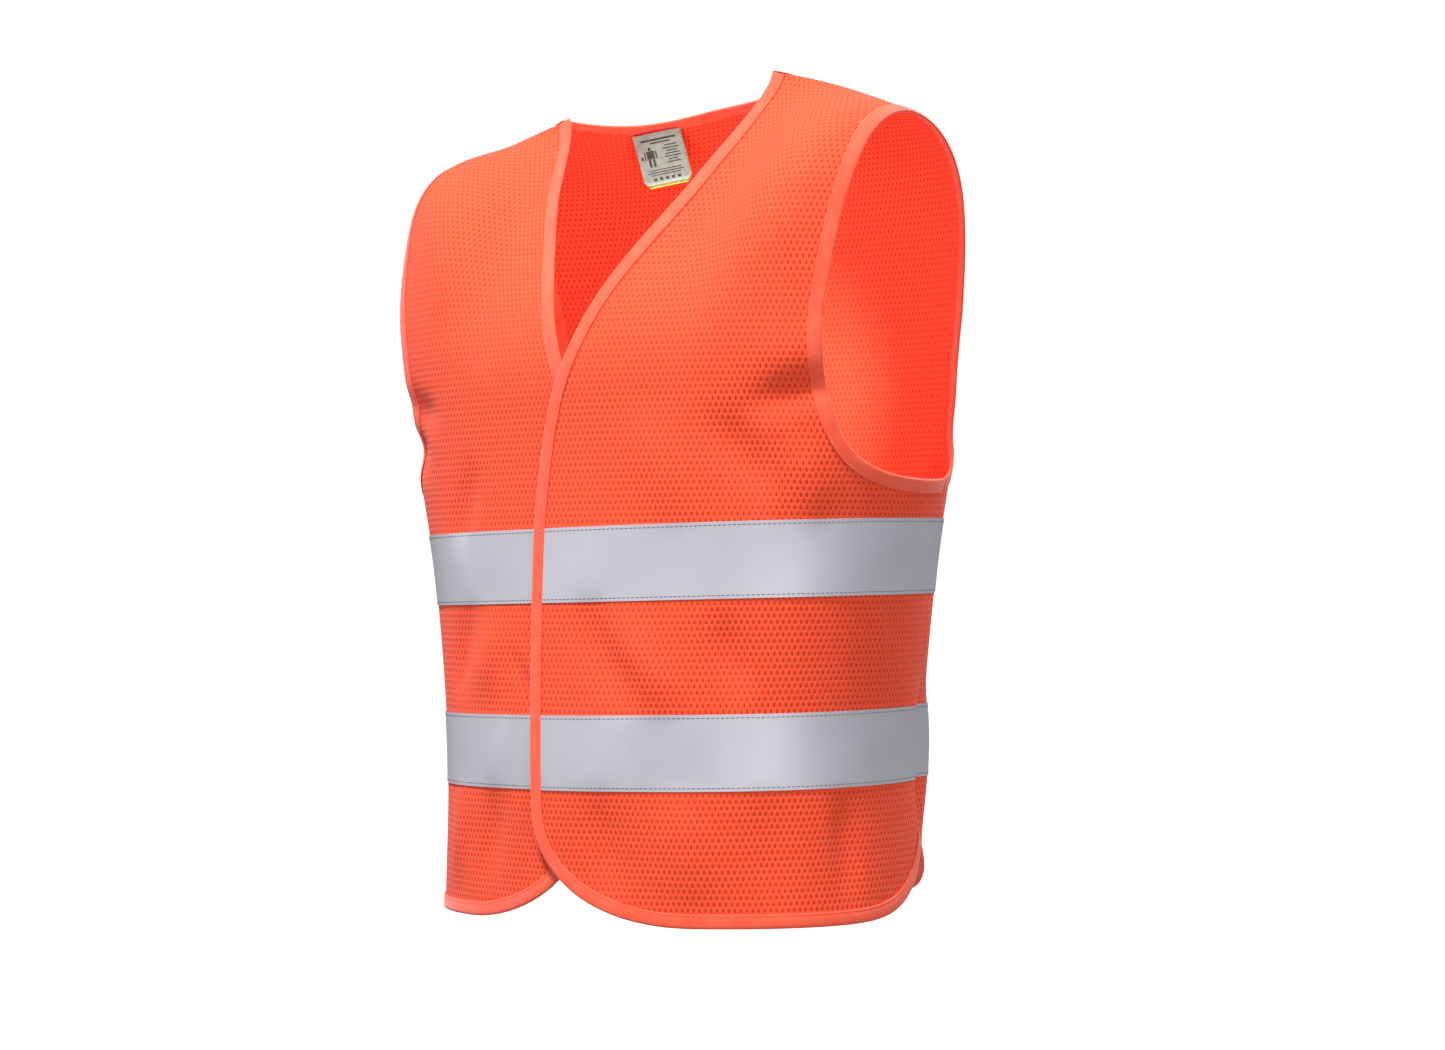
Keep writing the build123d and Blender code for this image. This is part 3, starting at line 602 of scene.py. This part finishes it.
def make_cloth(side):
    """A panel of mesh cloth, cut to its outline."""
    border = flat(panel_outline(side))
    points = [Vector(p) for p in [*border.tolist(), *inner_points(border)]]
    cut = delaunay_2d_cdt(points, [], [list(range(len(border)))], 1, 1e-5)
    places = unflat(np.array([tuple(v) for v in cut[0]]))
    points = place(*places.T, side, CLOTH_HEIGHT)
    name = "back" if side == "back" else f"{side}_front"
    piece = mesh(f"{name}_cloth", points, [list(f) for f in cut[2]], cloth_run(places, side))
    return dress(piece, side, "mesh", MATERIALS["mesh"], f"{name}_panel")


def grid_faces(rows, columns):
    """Four-sided faces over a grid of points."""
    corners = [i * columns + k for i in range(rows - 1) for k in range(columns - 1)]
    return [[a, a + 1, a + columns + 1, a + columns] for a in corners]


def grid_rim(rows, columns):
    """Points round the edge of a grid, in order, each with the one after it."""
    rim = list(range(columns))
    rim += [i * columns + columns - 1 for i in range(1, rows)]
    rim += [(rows - 1) * columns + k for k in range(columns - 2, -1, -1)]
    rim += [i * columns for i in range(rows - 2, 0, -1)]
    return zip(rim, rim[1:] + rim[:1])


def swept(name, path, turn, side, sections):
    """A closed section of (inward, height) carried along an edge path."""
    rails = []
    for inward, height in sections:
        moved = step_in(path, inward, turn, side)
        rails.append(place(*moved.T, side, CLOTH_HEIGHT + height))
    points = np.stack(rails, 1)
    count, around = points.shape[:2]
    faces = []
    for i in range(count - 1):
        for k in range(around):
            after = (k + 1) % around
            faces.append([i * around + k, i * around + after, (i + 1) * around + after, (i + 1) * around + k])
    faces.append(list(range(around))[::-1])
    faces.append([(count - 1) * around + k for k in range(around)])
    run = surface_run(path[:-1], path[1:], side)
    run = np.concatenate([[0], np.cumsum(run)])
    weave = np.zeros((count, around, 3))
    weave[..., 0] = run[:, None]
    weave[..., 1] = np.arange(around)[None, :]
    return mesh(name, points.reshape(-1, 3), faces, weave.reshape(-1, 3))


def sew(name, path, side, height, thread):
    """A row of stitches that moves with its panel."""
    return dress(stitches(name, path, side, height), side, "seam_thread", MATERIALS[thread])


def make_binding(name, path, turn, side, node):
    """Edge binding folded over the cloth, with its stitches on both faces."""
    path = fine(path, side)
    section = [*BINDING_OUTSIDE, *[(d, -h) for d, h in BINDING_OUTSIDE[::-1]]]
    section += [(d, -h) for d, h in BINDING_INSIDE]
    section += list(BINDING_INSIDE[::-1])
    tape = dress(swept(name, path, turn, side, section), side, "binding", MATERIALS["binding"], node)
    seam = step_in(path, BINDING_STITCH_IN, turn, side)
    made = [tape]
    for face, height in (("outer", BINDING_STITCH_HIGH), ("inner", -BINDING_STITCH_HIGH)):
        made.append(sew(f"{name}_{face}_thread", seam, side, CLOTH_HEIGHT + height, "orange_thread"))
    return made


def spread(run, at, values):
    """Values along a path at other distances."""
    return np.stack([np.interp(at, run, values[:, k]) for k in range(3)], -1)


def stitches(name, path, side, height):
    """Lockstitch threads along a path of places."""
    points = place(*path.T, side, height)
    normals = outward(*path.T, side)
    run = np.concatenate([[0], np.cumsum(np.linalg.norm(np.diff(points, axis=0), axis=1))])
    pitch = STITCH_LONG + STITCH_GAP
    count = int(run[-1] / pitch)
    along = (np.arange(count)[:, None] + STITCH_START) * pitch + STITCH_LONG * np.array(STITCH_STATIONS)
    centre = spread(run, along, points)
    normal = unit(spread(run, along, normals))
    forward = unit(np.gradient(centre, axis=1))
    sideways = np.cross(normal, forward)
    radius = STITCH_THICK / 2 * np.array(STITCH_SHARES)[None, :, None, None]
    turn = np.arange(STITCH_AROUND) * 2 * math.pi / STITCH_AROUND
    aside, above = np.cos(turn)[:, None], np.sin(turn)[:, None]
    ring = aside * sideways[:, :, None] + above * normal[:, :, None]
    dip = (np.array(STITCH_SHARES)[None, :, None] - 1) * STITCH_THICK / 2 * normal
    verts = (centre + dip)[:, :, None] + ring * radius
    faces = []
    for s in range(count):
        base = s * len(STITCH_STATIONS) * STITCH_AROUND
        for i in range(len(STITCH_STATIONS) - 1):
            for k in range(STITCH_AROUND):
                low, after = base + i * STITCH_AROUND, (k + 1) % STITCH_AROUND
                faces.append([low + k, low + after, low + STITCH_AROUND + after, low + STITCH_AROUND + k])
        top = base + (len(STITCH_STATIONS) - 1) * STITCH_AROUND
        faces.append([base + k for k in range(STITCH_AROUND)][::-1])
        faces.append([top + k for k in range(STITCH_AROUND)])
    return mesh(name, verts.reshape(-1, 3), faces)


def slab(name, grid, low, high, side):
    """Flat cloth piece over a grid of places, with real thickness."""
    rows, columns = grid.shape[:2]
    layers = [place(grid[..., 0], grid[..., 1], side, np.full((rows, columns), h)) for h in (high, low)]
    points = np.concatenate([layer.reshape(-1, 3) for layer in layers])
    under = rows * columns
    faces = []
    for quad in grid_faces(rows, columns):
        faces += [quad, [under + v for v in quad[::-1]]]
    faces += [[v, under + v, under + after, after] for v, after in grid_rim(rows, columns)]
    weave = cloth_run(grid.reshape(-1, 2), side)
    piece = mesh(name, points, faces, np.concatenate([weave, weave]))
    piece.data.set_sharp_from_angle(angle=CRISP_EDGE)
    return piece


def tape_row(side, level):
    """Places of a reflective tape at one level, from one end to the other."""
    row = level_row(level)
    if side == "back":
        start, end = (seam_angle(s, level, side) for s in (1, -1))
    else:
        sign = 1 if side == "left" else -1
        edge = opening_x(sign, level) + sign * TAPE_UNDER_BINDING
        start = angle_at(0, edge, level, side, -90)
        end = seam_angle(sign, level, side)
        end = end if sign > 0 else end - 360
    return np.stack([np.linspace(start, end, TAPE_COLUMNS[side]), np.full(TAPE_COLUMNS[side], row)], -1)


def make_tape(side, which, low):
    """A reflective tape with one stitched row near each edge."""
    name = "back" if side == "back" else f"{side}_front"
    levels = np.linspace(low, low + TAPE_WIDTH, TAPE_ROWS)
    grid = np.stack([tape_row(side, level) for level in levels])
    tape = slab(f"{name}_{which}_strip", grid, TAPE_UNDER, TAPE_OVER, side)
    made = [dress(tape, side, "reflective_tape", MATERIALS["tape"], f"{name}_{which}_tape")]
    for edge, level in (("low", low + TAPE_STITCH_IN), ("high", low + TAPE_WIDTH - TAPE_STITCH_IN)):
        line = fine(tape_row(side, level), side)
        thread = f"{name}_{which}_strip_{edge}_thread"
        made.append(sew(thread, line, side, TAPE_OVER + TAPE_STITCH_UP, "grey_thread"))
    return made


def make_bindings(side):
    """Every bound edge of a panel."""
    sign = -1 if side == "right" else 1
    if side == "back":
        hem = hem_path(seam_angle(1, HEM_RISE, side), seam_angle(-1, HEM_RISE, side), side)
        made = make_binding("back_neck_trim", neck_path(), -1, side, "back_neck_binding")
        made += make_binding("back_hem_trim", hem, 1, side, "back_hem_binding")
        for word, arm in (("left", 1), ("right", -1)):
            name = f"back_{word}_armhole"
            made += make_binding(f"{name}_trim", armhole_path(arm, side), arm, side, f"{name}_binding")
        return made
    made = make_binding(f"{side}_front_edge_trim", front_edge(side), sign, side, f"{side}_front_edge_binding")
    arm = turned(armhole_path(sign, side), sign)
    name = f"{side}_front_armhole"
    return made + make_binding(f"{name}_trim", arm, -sign, side, f"{name}_binding")


def pad_grid(side, bottom, shrink=0.0):
    """Places of a closure pad, drawn in from its edge by a distance."""
    levels = np.linspace(bottom + shrink, bottom + PAD_TALL - shrink, PAD_LEVELS)
    ends = np.array(PAD_X) + np.array([shrink, -shrink])
    rows = []
    for level in levels:
        start, end = (angle_at(0, x, level, side, -90) for x in ends)
        angles = np.linspace(start, end, PAD_COLUMNS)
        rows.append(np.stack([angles, np.full(PAD_COLUMNS, level_row(level))], -1))
    return np.stack(rows)


def make_pad(side, which, tape_low):
    """Hook pad inside the left front, or loop pad outside the right front."""
    bottom = tape_low + (TAPE_WIDTH - PAD_TALL) / 2
    hook = side == "left"
    kind = "hook" if hook else "loop"
    low, high = HOOK_BACKING if hook else LOOP_BACKING
    base = slab(f"{kind}_{which}_backing", pad_grid(side, bottom), low, high, side)
    made = [dress(base, side, kind, MATERIALS[kind], f"{kind}_pad_{which}")]
    tip = low - PAD_PILE if hook else high + PAD_PILE
    start = low if hook else high
    pile = bristles(f"{kind}_{which}_pile", pad_grid(side, bottom, PILE_IN), start, tip, side)
    made.append(dress(pile, side, kind, MATERIALS[kind]))
    border = pad_grid(side, bottom, PAD_STITCH_IN)
    ring = np.concatenate([border[0], border[:, -1], border[-1, ::-1], border[::-1, 0]])
    made.append(sew(f"{kind}_{which}_thread", fine(ring, side), side, start, "orange_thread"))
    return made


def bristles(name, grid, start, tip, side):
    """Short hooks or loops standing on a pad, one at each place of the grid and between."""
    between = (grid[1:, 1:] + grid[:-1, :-1]) / 2
    places = np.concatenate([grid.reshape(-1, 2), between.reshape(-1, 2)])
    foot = place(*places.T, side, start)
    head = place(*places.T, side, tip)
    lean = np.array(BRISTLE_LEAN)
    verts = []
    faces = []
    for i, (low, high) in enumerate(zip(foot, head)):
        for point, wide in ((low, BRISTLE_WIDE), (high + lean, BRISTLE_WIDE * BRISTLE_TAPER)):
            verts += [point + np.array([dx, 0, dz]) * wide for dx, dz in SQUARE]
        b = 8 * i
        faces += [[b + k, b + (k + 1) % 4, b + 4 + (k + 1) % 4, b + 4 + k] for k in range(4)]
        faces.append([b + 4, b + 5, b + 6, b + 7])
    return mesh(name, verts, faces)


def make_side_seam(word, sign):
    """Overlocked allowance inside the side seam and the fine ridge outside it."""
    levels = np.linspace(HEM_RISE + SEAM_END, ARMPIT_AT_SEAM - SEAM_END, SIDE_SEAM_ROWS)
    rows = []
    for level in levels:
        guess = SEAM_GUESS[sign]
        across = [angle_at(1, seam_y(level) + d, level, "back", guess) for d in SEAM_ACROSS]
        rows.append([(a, level_row(level)) for a in across])
    return sew_seam(f"{word}_side_seam", np.array(rows))


def make_shoulder_seam(word, sign):
    """Overlocked allowance inside the shoulder seam and the fine ridge outside it."""
    rows = []
    for x in np.linspace(NECK_HALF + SEAM_END, SHOULDER_END - SEAM_END, SHOULDER_SEAM_ROWS) * sign:
        ridge = locate((x, profile(SHOULDER_LINE, x)), [0, 2], (90 - sign * SHOULDER_GUESS_TURN, SKIN_LIMIT), "back")
        ridge_y = body_skin(ridge[0], 2, "back")[1]
        line = [(ridge[0], 2)]
        guess = (ridge[0], SHOULDER_GUESS_ROW)
        line += [locate((x, ridge_y + d), [0, 1], guess, "back") for d in SEAM_ACROSS[1:]]
        rows.append(line)
    return sew_seam(f"{word}_shoulder_seam", np.array(rows))


def sew_seam(name, grid):
    """Allowance strip of a seam, with its overlock inside and its topstitch outside."""
    strip = slab(f"{name}_allowance", grid, *SEAM_BACKING, "back")
    made = [dress(strip, "back", "seam_thread", MATERIALS["binding"], name)]
    zigzag = grid[:, 1:].copy()
    path = np.stack([zigzag[i, (i // 2) % 2] for i in range(len(zigzag))])
    inside = fine(path, "back", OVERLOCK_STEP)
    outside = fine(grid[:, 0], "back")
    made.append(sew(f"{name}_overlock", inside, "back", SEAM_BACKING[0], "orange_thread"))
    made.append(sew(f"{name}_topstitch", outside, "back", CLOTH_HEIGHT + TOPSTITCH_UP, "orange_thread"))
    return made


def label_point(across, down, out):
    """A point of the care label: across from its middle, down from its sewn edge, out towards the wearer."""
    bow = LABEL_BOW * (2 * across / LABEL_WIDE) ** 2 + LABEL_CURL * (down / LABEL_TALL) ** 2
    lean = math.radians(LABEL_LEAN)
    drop = LABEL_DOWN * down * math.cos(lean) + LABEL_BACK * (down * math.sin(lean) - out - bow)
    return LABEL_PLACE + LABEL_ACROSS * across + drop


def label_sheet(name, half, tall, outs, material, *nodes):
    """Label layer of a half width and height, with cut lower corners."""
    columns = np.linspace(-half, half, LABEL_STEPS)
    downs = np.linspace(0, tall, LABEL_STEPS)
    verts = []
    for out in outs:
        for down in downs:
            cut = max(down - (tall - LABEL_CORNER), 0)
            verts += [label_point(x * (half - cut) / half, down, out) for x in columns]
    under = LABEL_STEPS ** 2
    faces = grid_faces(LABEL_STEPS, LABEL_STEPS)
    faces += [[under + v for v in quad[::-1]] for quad in faces]
    faces += [[v, after, under + after, under + v] for v, after in grid_rim(LABEL_STEPS, LABEL_STEPS)]
    return dress(mesh(name, verts, faces), "label", "label", material, *nodes)


def printed(name, boxes, material):
    """Flat printed shapes on the label: (across, down, wide, tall) each."""
    verts = []
    faces = []
    for across, down, wide, tall in boxes:
        steps = 4
        base = len(verts)
        for k in range(steps + 1):
            x = across - wide / 2 + wide * k / steps
            verts += [label_point(x, down, PRINT_OUT), label_point(x, down + tall, PRINT_OUT)]
        faces += [[base + 2 * k, base + 2 * k + 2, base + 2 * k + 3, base + 2 * k + 1] for k in range(steps)]
    return dress(mesh(name, verts, faces), "label", "label", material)


def make_label():
    """Sewn-in care label with a second label behind it and a generic print."""
    half = LABEL_WIDE / 2
    front, behind = MATERIALS["label"], MATERIALS["label_behind"]
    longer = LABEL_TALL + BEHIND_LONGER
    made = [label_sheet("care_label_front", half, LABEL_TALL, LABEL_LAYER, front, "care_label")]
    made.append(label_sheet("care_label_behind", half - BEHIND_NARROWER, longer, BEHIND_LAYER, behind))
    bars = [(0, 4.2, 26, 1.5), (1, 6.8, 15, 1.1)]
    bars += [(8, 10 + 2.1 * k, wide, 0.8) for k, wide in enumerate((9, 12, 8, 11, 12, 7, 10))]
    bars += [(0, 27 + 1.8 * k, wide, 0.7) for k, wide in enumerate((24, 27, 22))]
    bars += [(-9 + 4.5 * k, 33.2, 2.4, 2.0) for k in range(5)]
    vest = [(-8, 10, 2.2, 2.2), (-8, 12.6, 6, 6), (-9.6, 18.8, 1.8, 6), (-6.4, 18.8, 1.8, 6)]
    vest += [(-12.2, 13, 1.0, 6), (-3.8, 13, 1.0, 6), (-14.8, 16, 1.8, 2.4)]
    made.append(printed("care_label_print", bars + vest, MATERIALS["print"]))
    return made


def calc(tree, operation, *values):
    """A Math node's result; each value is a number or another node's output."""
    node = tree.nodes.new("ShaderNodeMath")
    node.operation = operation
    for i, value in enumerate(values):
        if isinstance(value, bpy.types.NodeSocket):
            tree.links.new(value, node.inputs[i])
        else:
            node.inputs[i].default_value = value
    return node.outputs[0]


def ramp(tree, value, low, high, start=0.0, end=1.0):
    """Value carried smoothly from the range low..high to start..end."""
    node = tree.nodes.new("ShaderNodeMapRange")
    node.interpolation_type = "SMOOTHSTEP"
    tree.links.new(value, node.inputs["Value"])
    for name, number in (("From Min", low), ("From Max", high), ("To Min", start), ("To Max", end)):
        node.inputs[name].default_value = number
    return node.outputs["Result"]


def tint(tree, shader, share, dark, light):
    """Colours the shader between dark and light."""
    node = tree.nodes.new("ShaderNodeMix")
    node.data_type = "RGBA"
    tree.links.new(share, node.inputs["Factor"])
    node.inputs["A"].default_value = (*dark, 1)
    node.inputs["B"].default_value = (*light, 1)
    tree.links.new(node.outputs["Result"], shader.inputs["Base Color"])


def grain(tree, scale, detail=2.0):
    """Fine noise fixed to the piece."""
    spot = tree.nodes.new("ShaderNodeTexCoord")
    noise = tree.nodes.new("ShaderNodeTexNoise")
    noise.inputs["Scale"].default_value = scale
    noise.inputs["Detail"].default_value = detail
    tree.links.new(spot.outputs["Object"], noise.inputs["Vector"])
    return noise.outputs["Fac"]


def relief(tree, shader, height, depth, strength):
    """Raises the shader's surface by a height that is carried to a depth in metres."""
    node = tree.nodes.new("ShaderNodeBump")
    node.inputs["Distance"].default_value = depth
    node.inputs["Strength"].default_value = strength
    tree.links.new(height, node.inputs["Height"])
    tree.links.new(node.outputs["Normal"], shader.inputs["Normal"])


def cell_place(tree, value, pitch, hole):
    """Place within the repeat, from its middle, in half widths of the eyelet."""
    offset = calc(tree, "SUBTRACT", calc(tree, "FRACT", value), 0.5)
    return calc(tree, "MULTIPLY", offset, 2 * pitch / hole)


def squared(tree, value):
    return calc(tree, "POWER", calc(tree, "ABSOLUTE", value), 2.0)


def weave_run(tree):
    """Distances across and up the cloth, in millimetres."""
    run = tree.nodes.new("ShaderNodeAttribute")
    run.attribute_name = "weave"
    parts = tree.nodes.new("ShaderNodeSeparateXYZ")
    tree.links.new(run.outputs["Vector"], parts.inputs[0])
    return parts.outputs["X"], parts.outputs["Y"]


def material(name, roughness, sheen=0.0, metallic=0.0, specular=0.3):
    made = bpy.data.materials.new(name)
    made.use_nodes = True
    shader = made.node_tree.nodes["Principled BSDF"]
    shader.inputs["Roughness"].default_value = roughness
    shader.inputs["Sheen Weight"].default_value = sheen
    shader.inputs["Metallic"].default_value = metallic
    shader.inputs["Specular IOR Level"].default_value = specular
    return made, made.node_tree, shader


def mesh_material():
    """Knitted mesh: staggered upright eyelets with painted shade in place of holes, sunk in a raised net."""
    made, tree, shader = material("orange_mesh", 0.82, sheen=0.08, specular=0.15)
    across, up = weave_run(tree)
    line = calc(tree, "DIVIDE", up, HOLE_ROW)
    odd = calc(tree, "FLOORED_MODULO", calc(tree, "FLOOR", line), 2.0)
    column = calc(tree, "ADD", calc(tree, "DIVIDE", across, HOLE_PITCH), calc(tree, "MULTIPLY", odd, 0.5))
    aside = cell_place(tree, column, HOLE_PITCH, HOLE_WIDE)
    above = cell_place(tree, line, HOLE_ROW, HOLE_TALL)
    reach = calc(tree, "SQRT", calc(tree, "ADD", squared(tree, aside), squared(tree, above)))
    # Painted shade: each eyelet darkens towards its middle in place of a real hole
    tint(tree, shader, ramp(tree, reach, *EYELET_PAINTED_SHADE_REACH), MESH_HOLE_PAINTED_SHADE, MESH_LIGHT)
    relief(tree, shader, ramp(tree, reach, *EYELET_RELIEF_REACH), NET_DEPTH, 0.6)
    return made


def binding_material():
    """Plain woven binding with fine cross ribs."""
    made, tree, shader = material("orange_binding", 0.7, sheen=0.3, specular=0.25)
    across = weave_run(tree)[0]
    rib = calc(tree, "SINE", calc(tree, "MULTIPLY", across, 2 * math.pi / RIB_PITCH))
    tint(tree, shader, ramp(tree, grain(tree, 90), *MOTTLE), BINDING_DARK, BINDING_LIGHT)
    relief(tree, shader, rib, RIB_DEPTH, 0.5)
    return made


def tape_material():
    """Glass-bead reflective cloth, whose sheen dulls where it turns away."""
    made, tree, shader = material("reflective_grey", 0.52, metallic=0.6, specular=0.3)
    shader.inputs["Specular Tint"].default_value = TAPE_TURNED
    tint(tree, shader, ramp(tree, grain(tree, 14), *MOTTLE), TAPE_DARK, TAPE_LIGHT)
    relief(tree, shader, grain(tree, 2600), BEAD_DEPTH, 0.5)
    return made


def plain_cloth(name, dark, light, scale, depth, roughness=0.8, sheen=0.1):
    """A cloth with fine grain in two close shades."""
    made, tree, shader = material(name, roughness, sheen=sheen, specular=0.2)
    fine_grain = grain(tree, scale)
    tint(tree, shader, ramp(tree, fine_grain, *MOTTLE), dark, light)
    relief(tree, shader, fine_grain, depth, 0.6)
    return made


def make_materials():
    made = {"mesh": mesh_material(), "binding": binding_material(), "tape": tape_material()}
    for key, settings, options in PLAIN_CLOTHS:
        made[key] = plain_cloth(*settings, **options)
    return made


def area_light(name, azimuth, height, distance, size, power):
    """Soft light aimed at the middle of the vest from a direction round it."""
    turn = math.radians(azimuth)
    spot = Vector((math.sin(turn) * distance, -math.cos(turn) * distance, height)) + Vector(ORIGIN)
    data = bpy.data.lights.new(name, "AREA")
    data.shape = "DISK"
    data.size = size
    data.energy = power
    light = bpy.data.objects.new(name, data)
    light.location = spot
    aim = Vector(ORIGIN) + Vector((0, 0, VEST_MIDDLE))
    light.rotation_euler = (aim - spot).to_track_quat("-Z", "Y").to_euler()
    bpy.context.scene.collection.objects.link(light)


def inner_light():
    """Soft lamp within the vest, so that its inside shows."""
    data = bpy.data.lights.new("inner_light", "POINT")
    data.shadow_soft_size = GLOW_SIZE
    data.energy = GLOW_POWER
    light = bpy.data.objects.new("inner_light", data)
    light.location = Vector(ORIGIN) + Vector(GLOW_PLACE)
    light.visible_camera = False
    bpy.context.scene.collection.objects.link(light)


def make_world():
    """White studio: brighter to the camera than it lights the cloth."""
    world = bpy.data.worlds.new("studio")
    bpy.context.scene.world = world
    world.use_nodes = True
    tree = world.node_tree
    light = tree.nodes["Background"]
    light.inputs["Color"].default_value = (1, 1, 1, 1)
    path = tree.nodes.new("ShaderNodeLightPath")
    seen = tree.nodes.new("ShaderNodeMapRange")
    tree.links.new(path.outputs["Is Camera Ray"], seen.inputs["Value"])
    seen.inputs["To Min"].default_value = WORLD_LIGHT
    seen.inputs["To Max"].default_value = WORLD_SEEN
    tree.links.new(seen.outputs["Result"], light.inputs["Strength"])


def make_floor():
    """Pale studio floor well below the hanging vest."""
    data = bpy.data.meshes.new("studio_floor")
    corners = [(FLOOR_HALF * x, FLOOR_HALF * y, 0) for x, y in SQUARE]
    data.from_pydata(corners, [], [[0, 1, 2, 3]])
    floor = bpy.data.objects.new("studio_floor", data)
    floor.location = Vector(ORIGIN) + Vector((0, 0, FLOOR_HEIGHT))
    bpy.context.scene.collection.objects.link(floor)
    made, tree, shader = material("pale_floor", 0.9)
    tint(tree, shader, grain(tree, 3), *FLOOR_GREYS)
    shader.inputs["Emission Color"].default_value = (1, 1, 1, 1)
    shader.inputs["Emission Strength"].default_value = FLOOR_GLOW
    data.materials.append(made)
    floor.visible_diffuse = False
    floor.visible_glossy = False


def make_camera():
    """Level camera at the wearer's front left."""
    turn = math.radians(CAMERA_AZIMUTH)
    right = Vector((math.cos(turn), math.sin(turn), 0))
    back = Vector((math.sin(turn), -math.cos(turn), 0))
    data = bpy.data.cameras.new("camera")
    data.sensor_width = 36
    data.lens = CAMERA_LENS
    camera = bpy.data.objects.new("camera", data)
    up = Vector((0, 0, CAMERA_HEIGHT))
    camera.location = Vector(ORIGIN) + right * CAMERA_ASIDE + back * CAMERA_DISTANCE + up
    camera.rotation_euler = (math.radians(90), 0, turn)
    bpy.context.scene.collection.objects.link(camera)
    bpy.context.scene.camera = camera


MATERIALS = make_materials()
for seam_word, seam_sign in (("left", 1), ("right", -1)):
    make_side_seam(seam_word, seam_sign)
    make_shoulder_seam(seam_word, seam_sign)
for panel_side in SIDES:
    panel_cloth = make_cloth(panel_side)
    panel_sewn = make_bindings(panel_side)
    for tape_word, tape_low in (("lower", LOWER_TAPE), ("upper", UPPER_TAPE)):
        panel_sewn += make_tape(panel_side, tape_word, tape_low)
        if panel_side != "back":
            panel_sewn += make_pad(panel_side, tape_word, tape_low)
label_pieces = make_label()

make_world()
make_floor()
inner_light()
for light_setting in LIGHTS:
    area_light(*light_setting)
make_camera()
bpy.context.scene.view_settings.view_transform = "Standard"
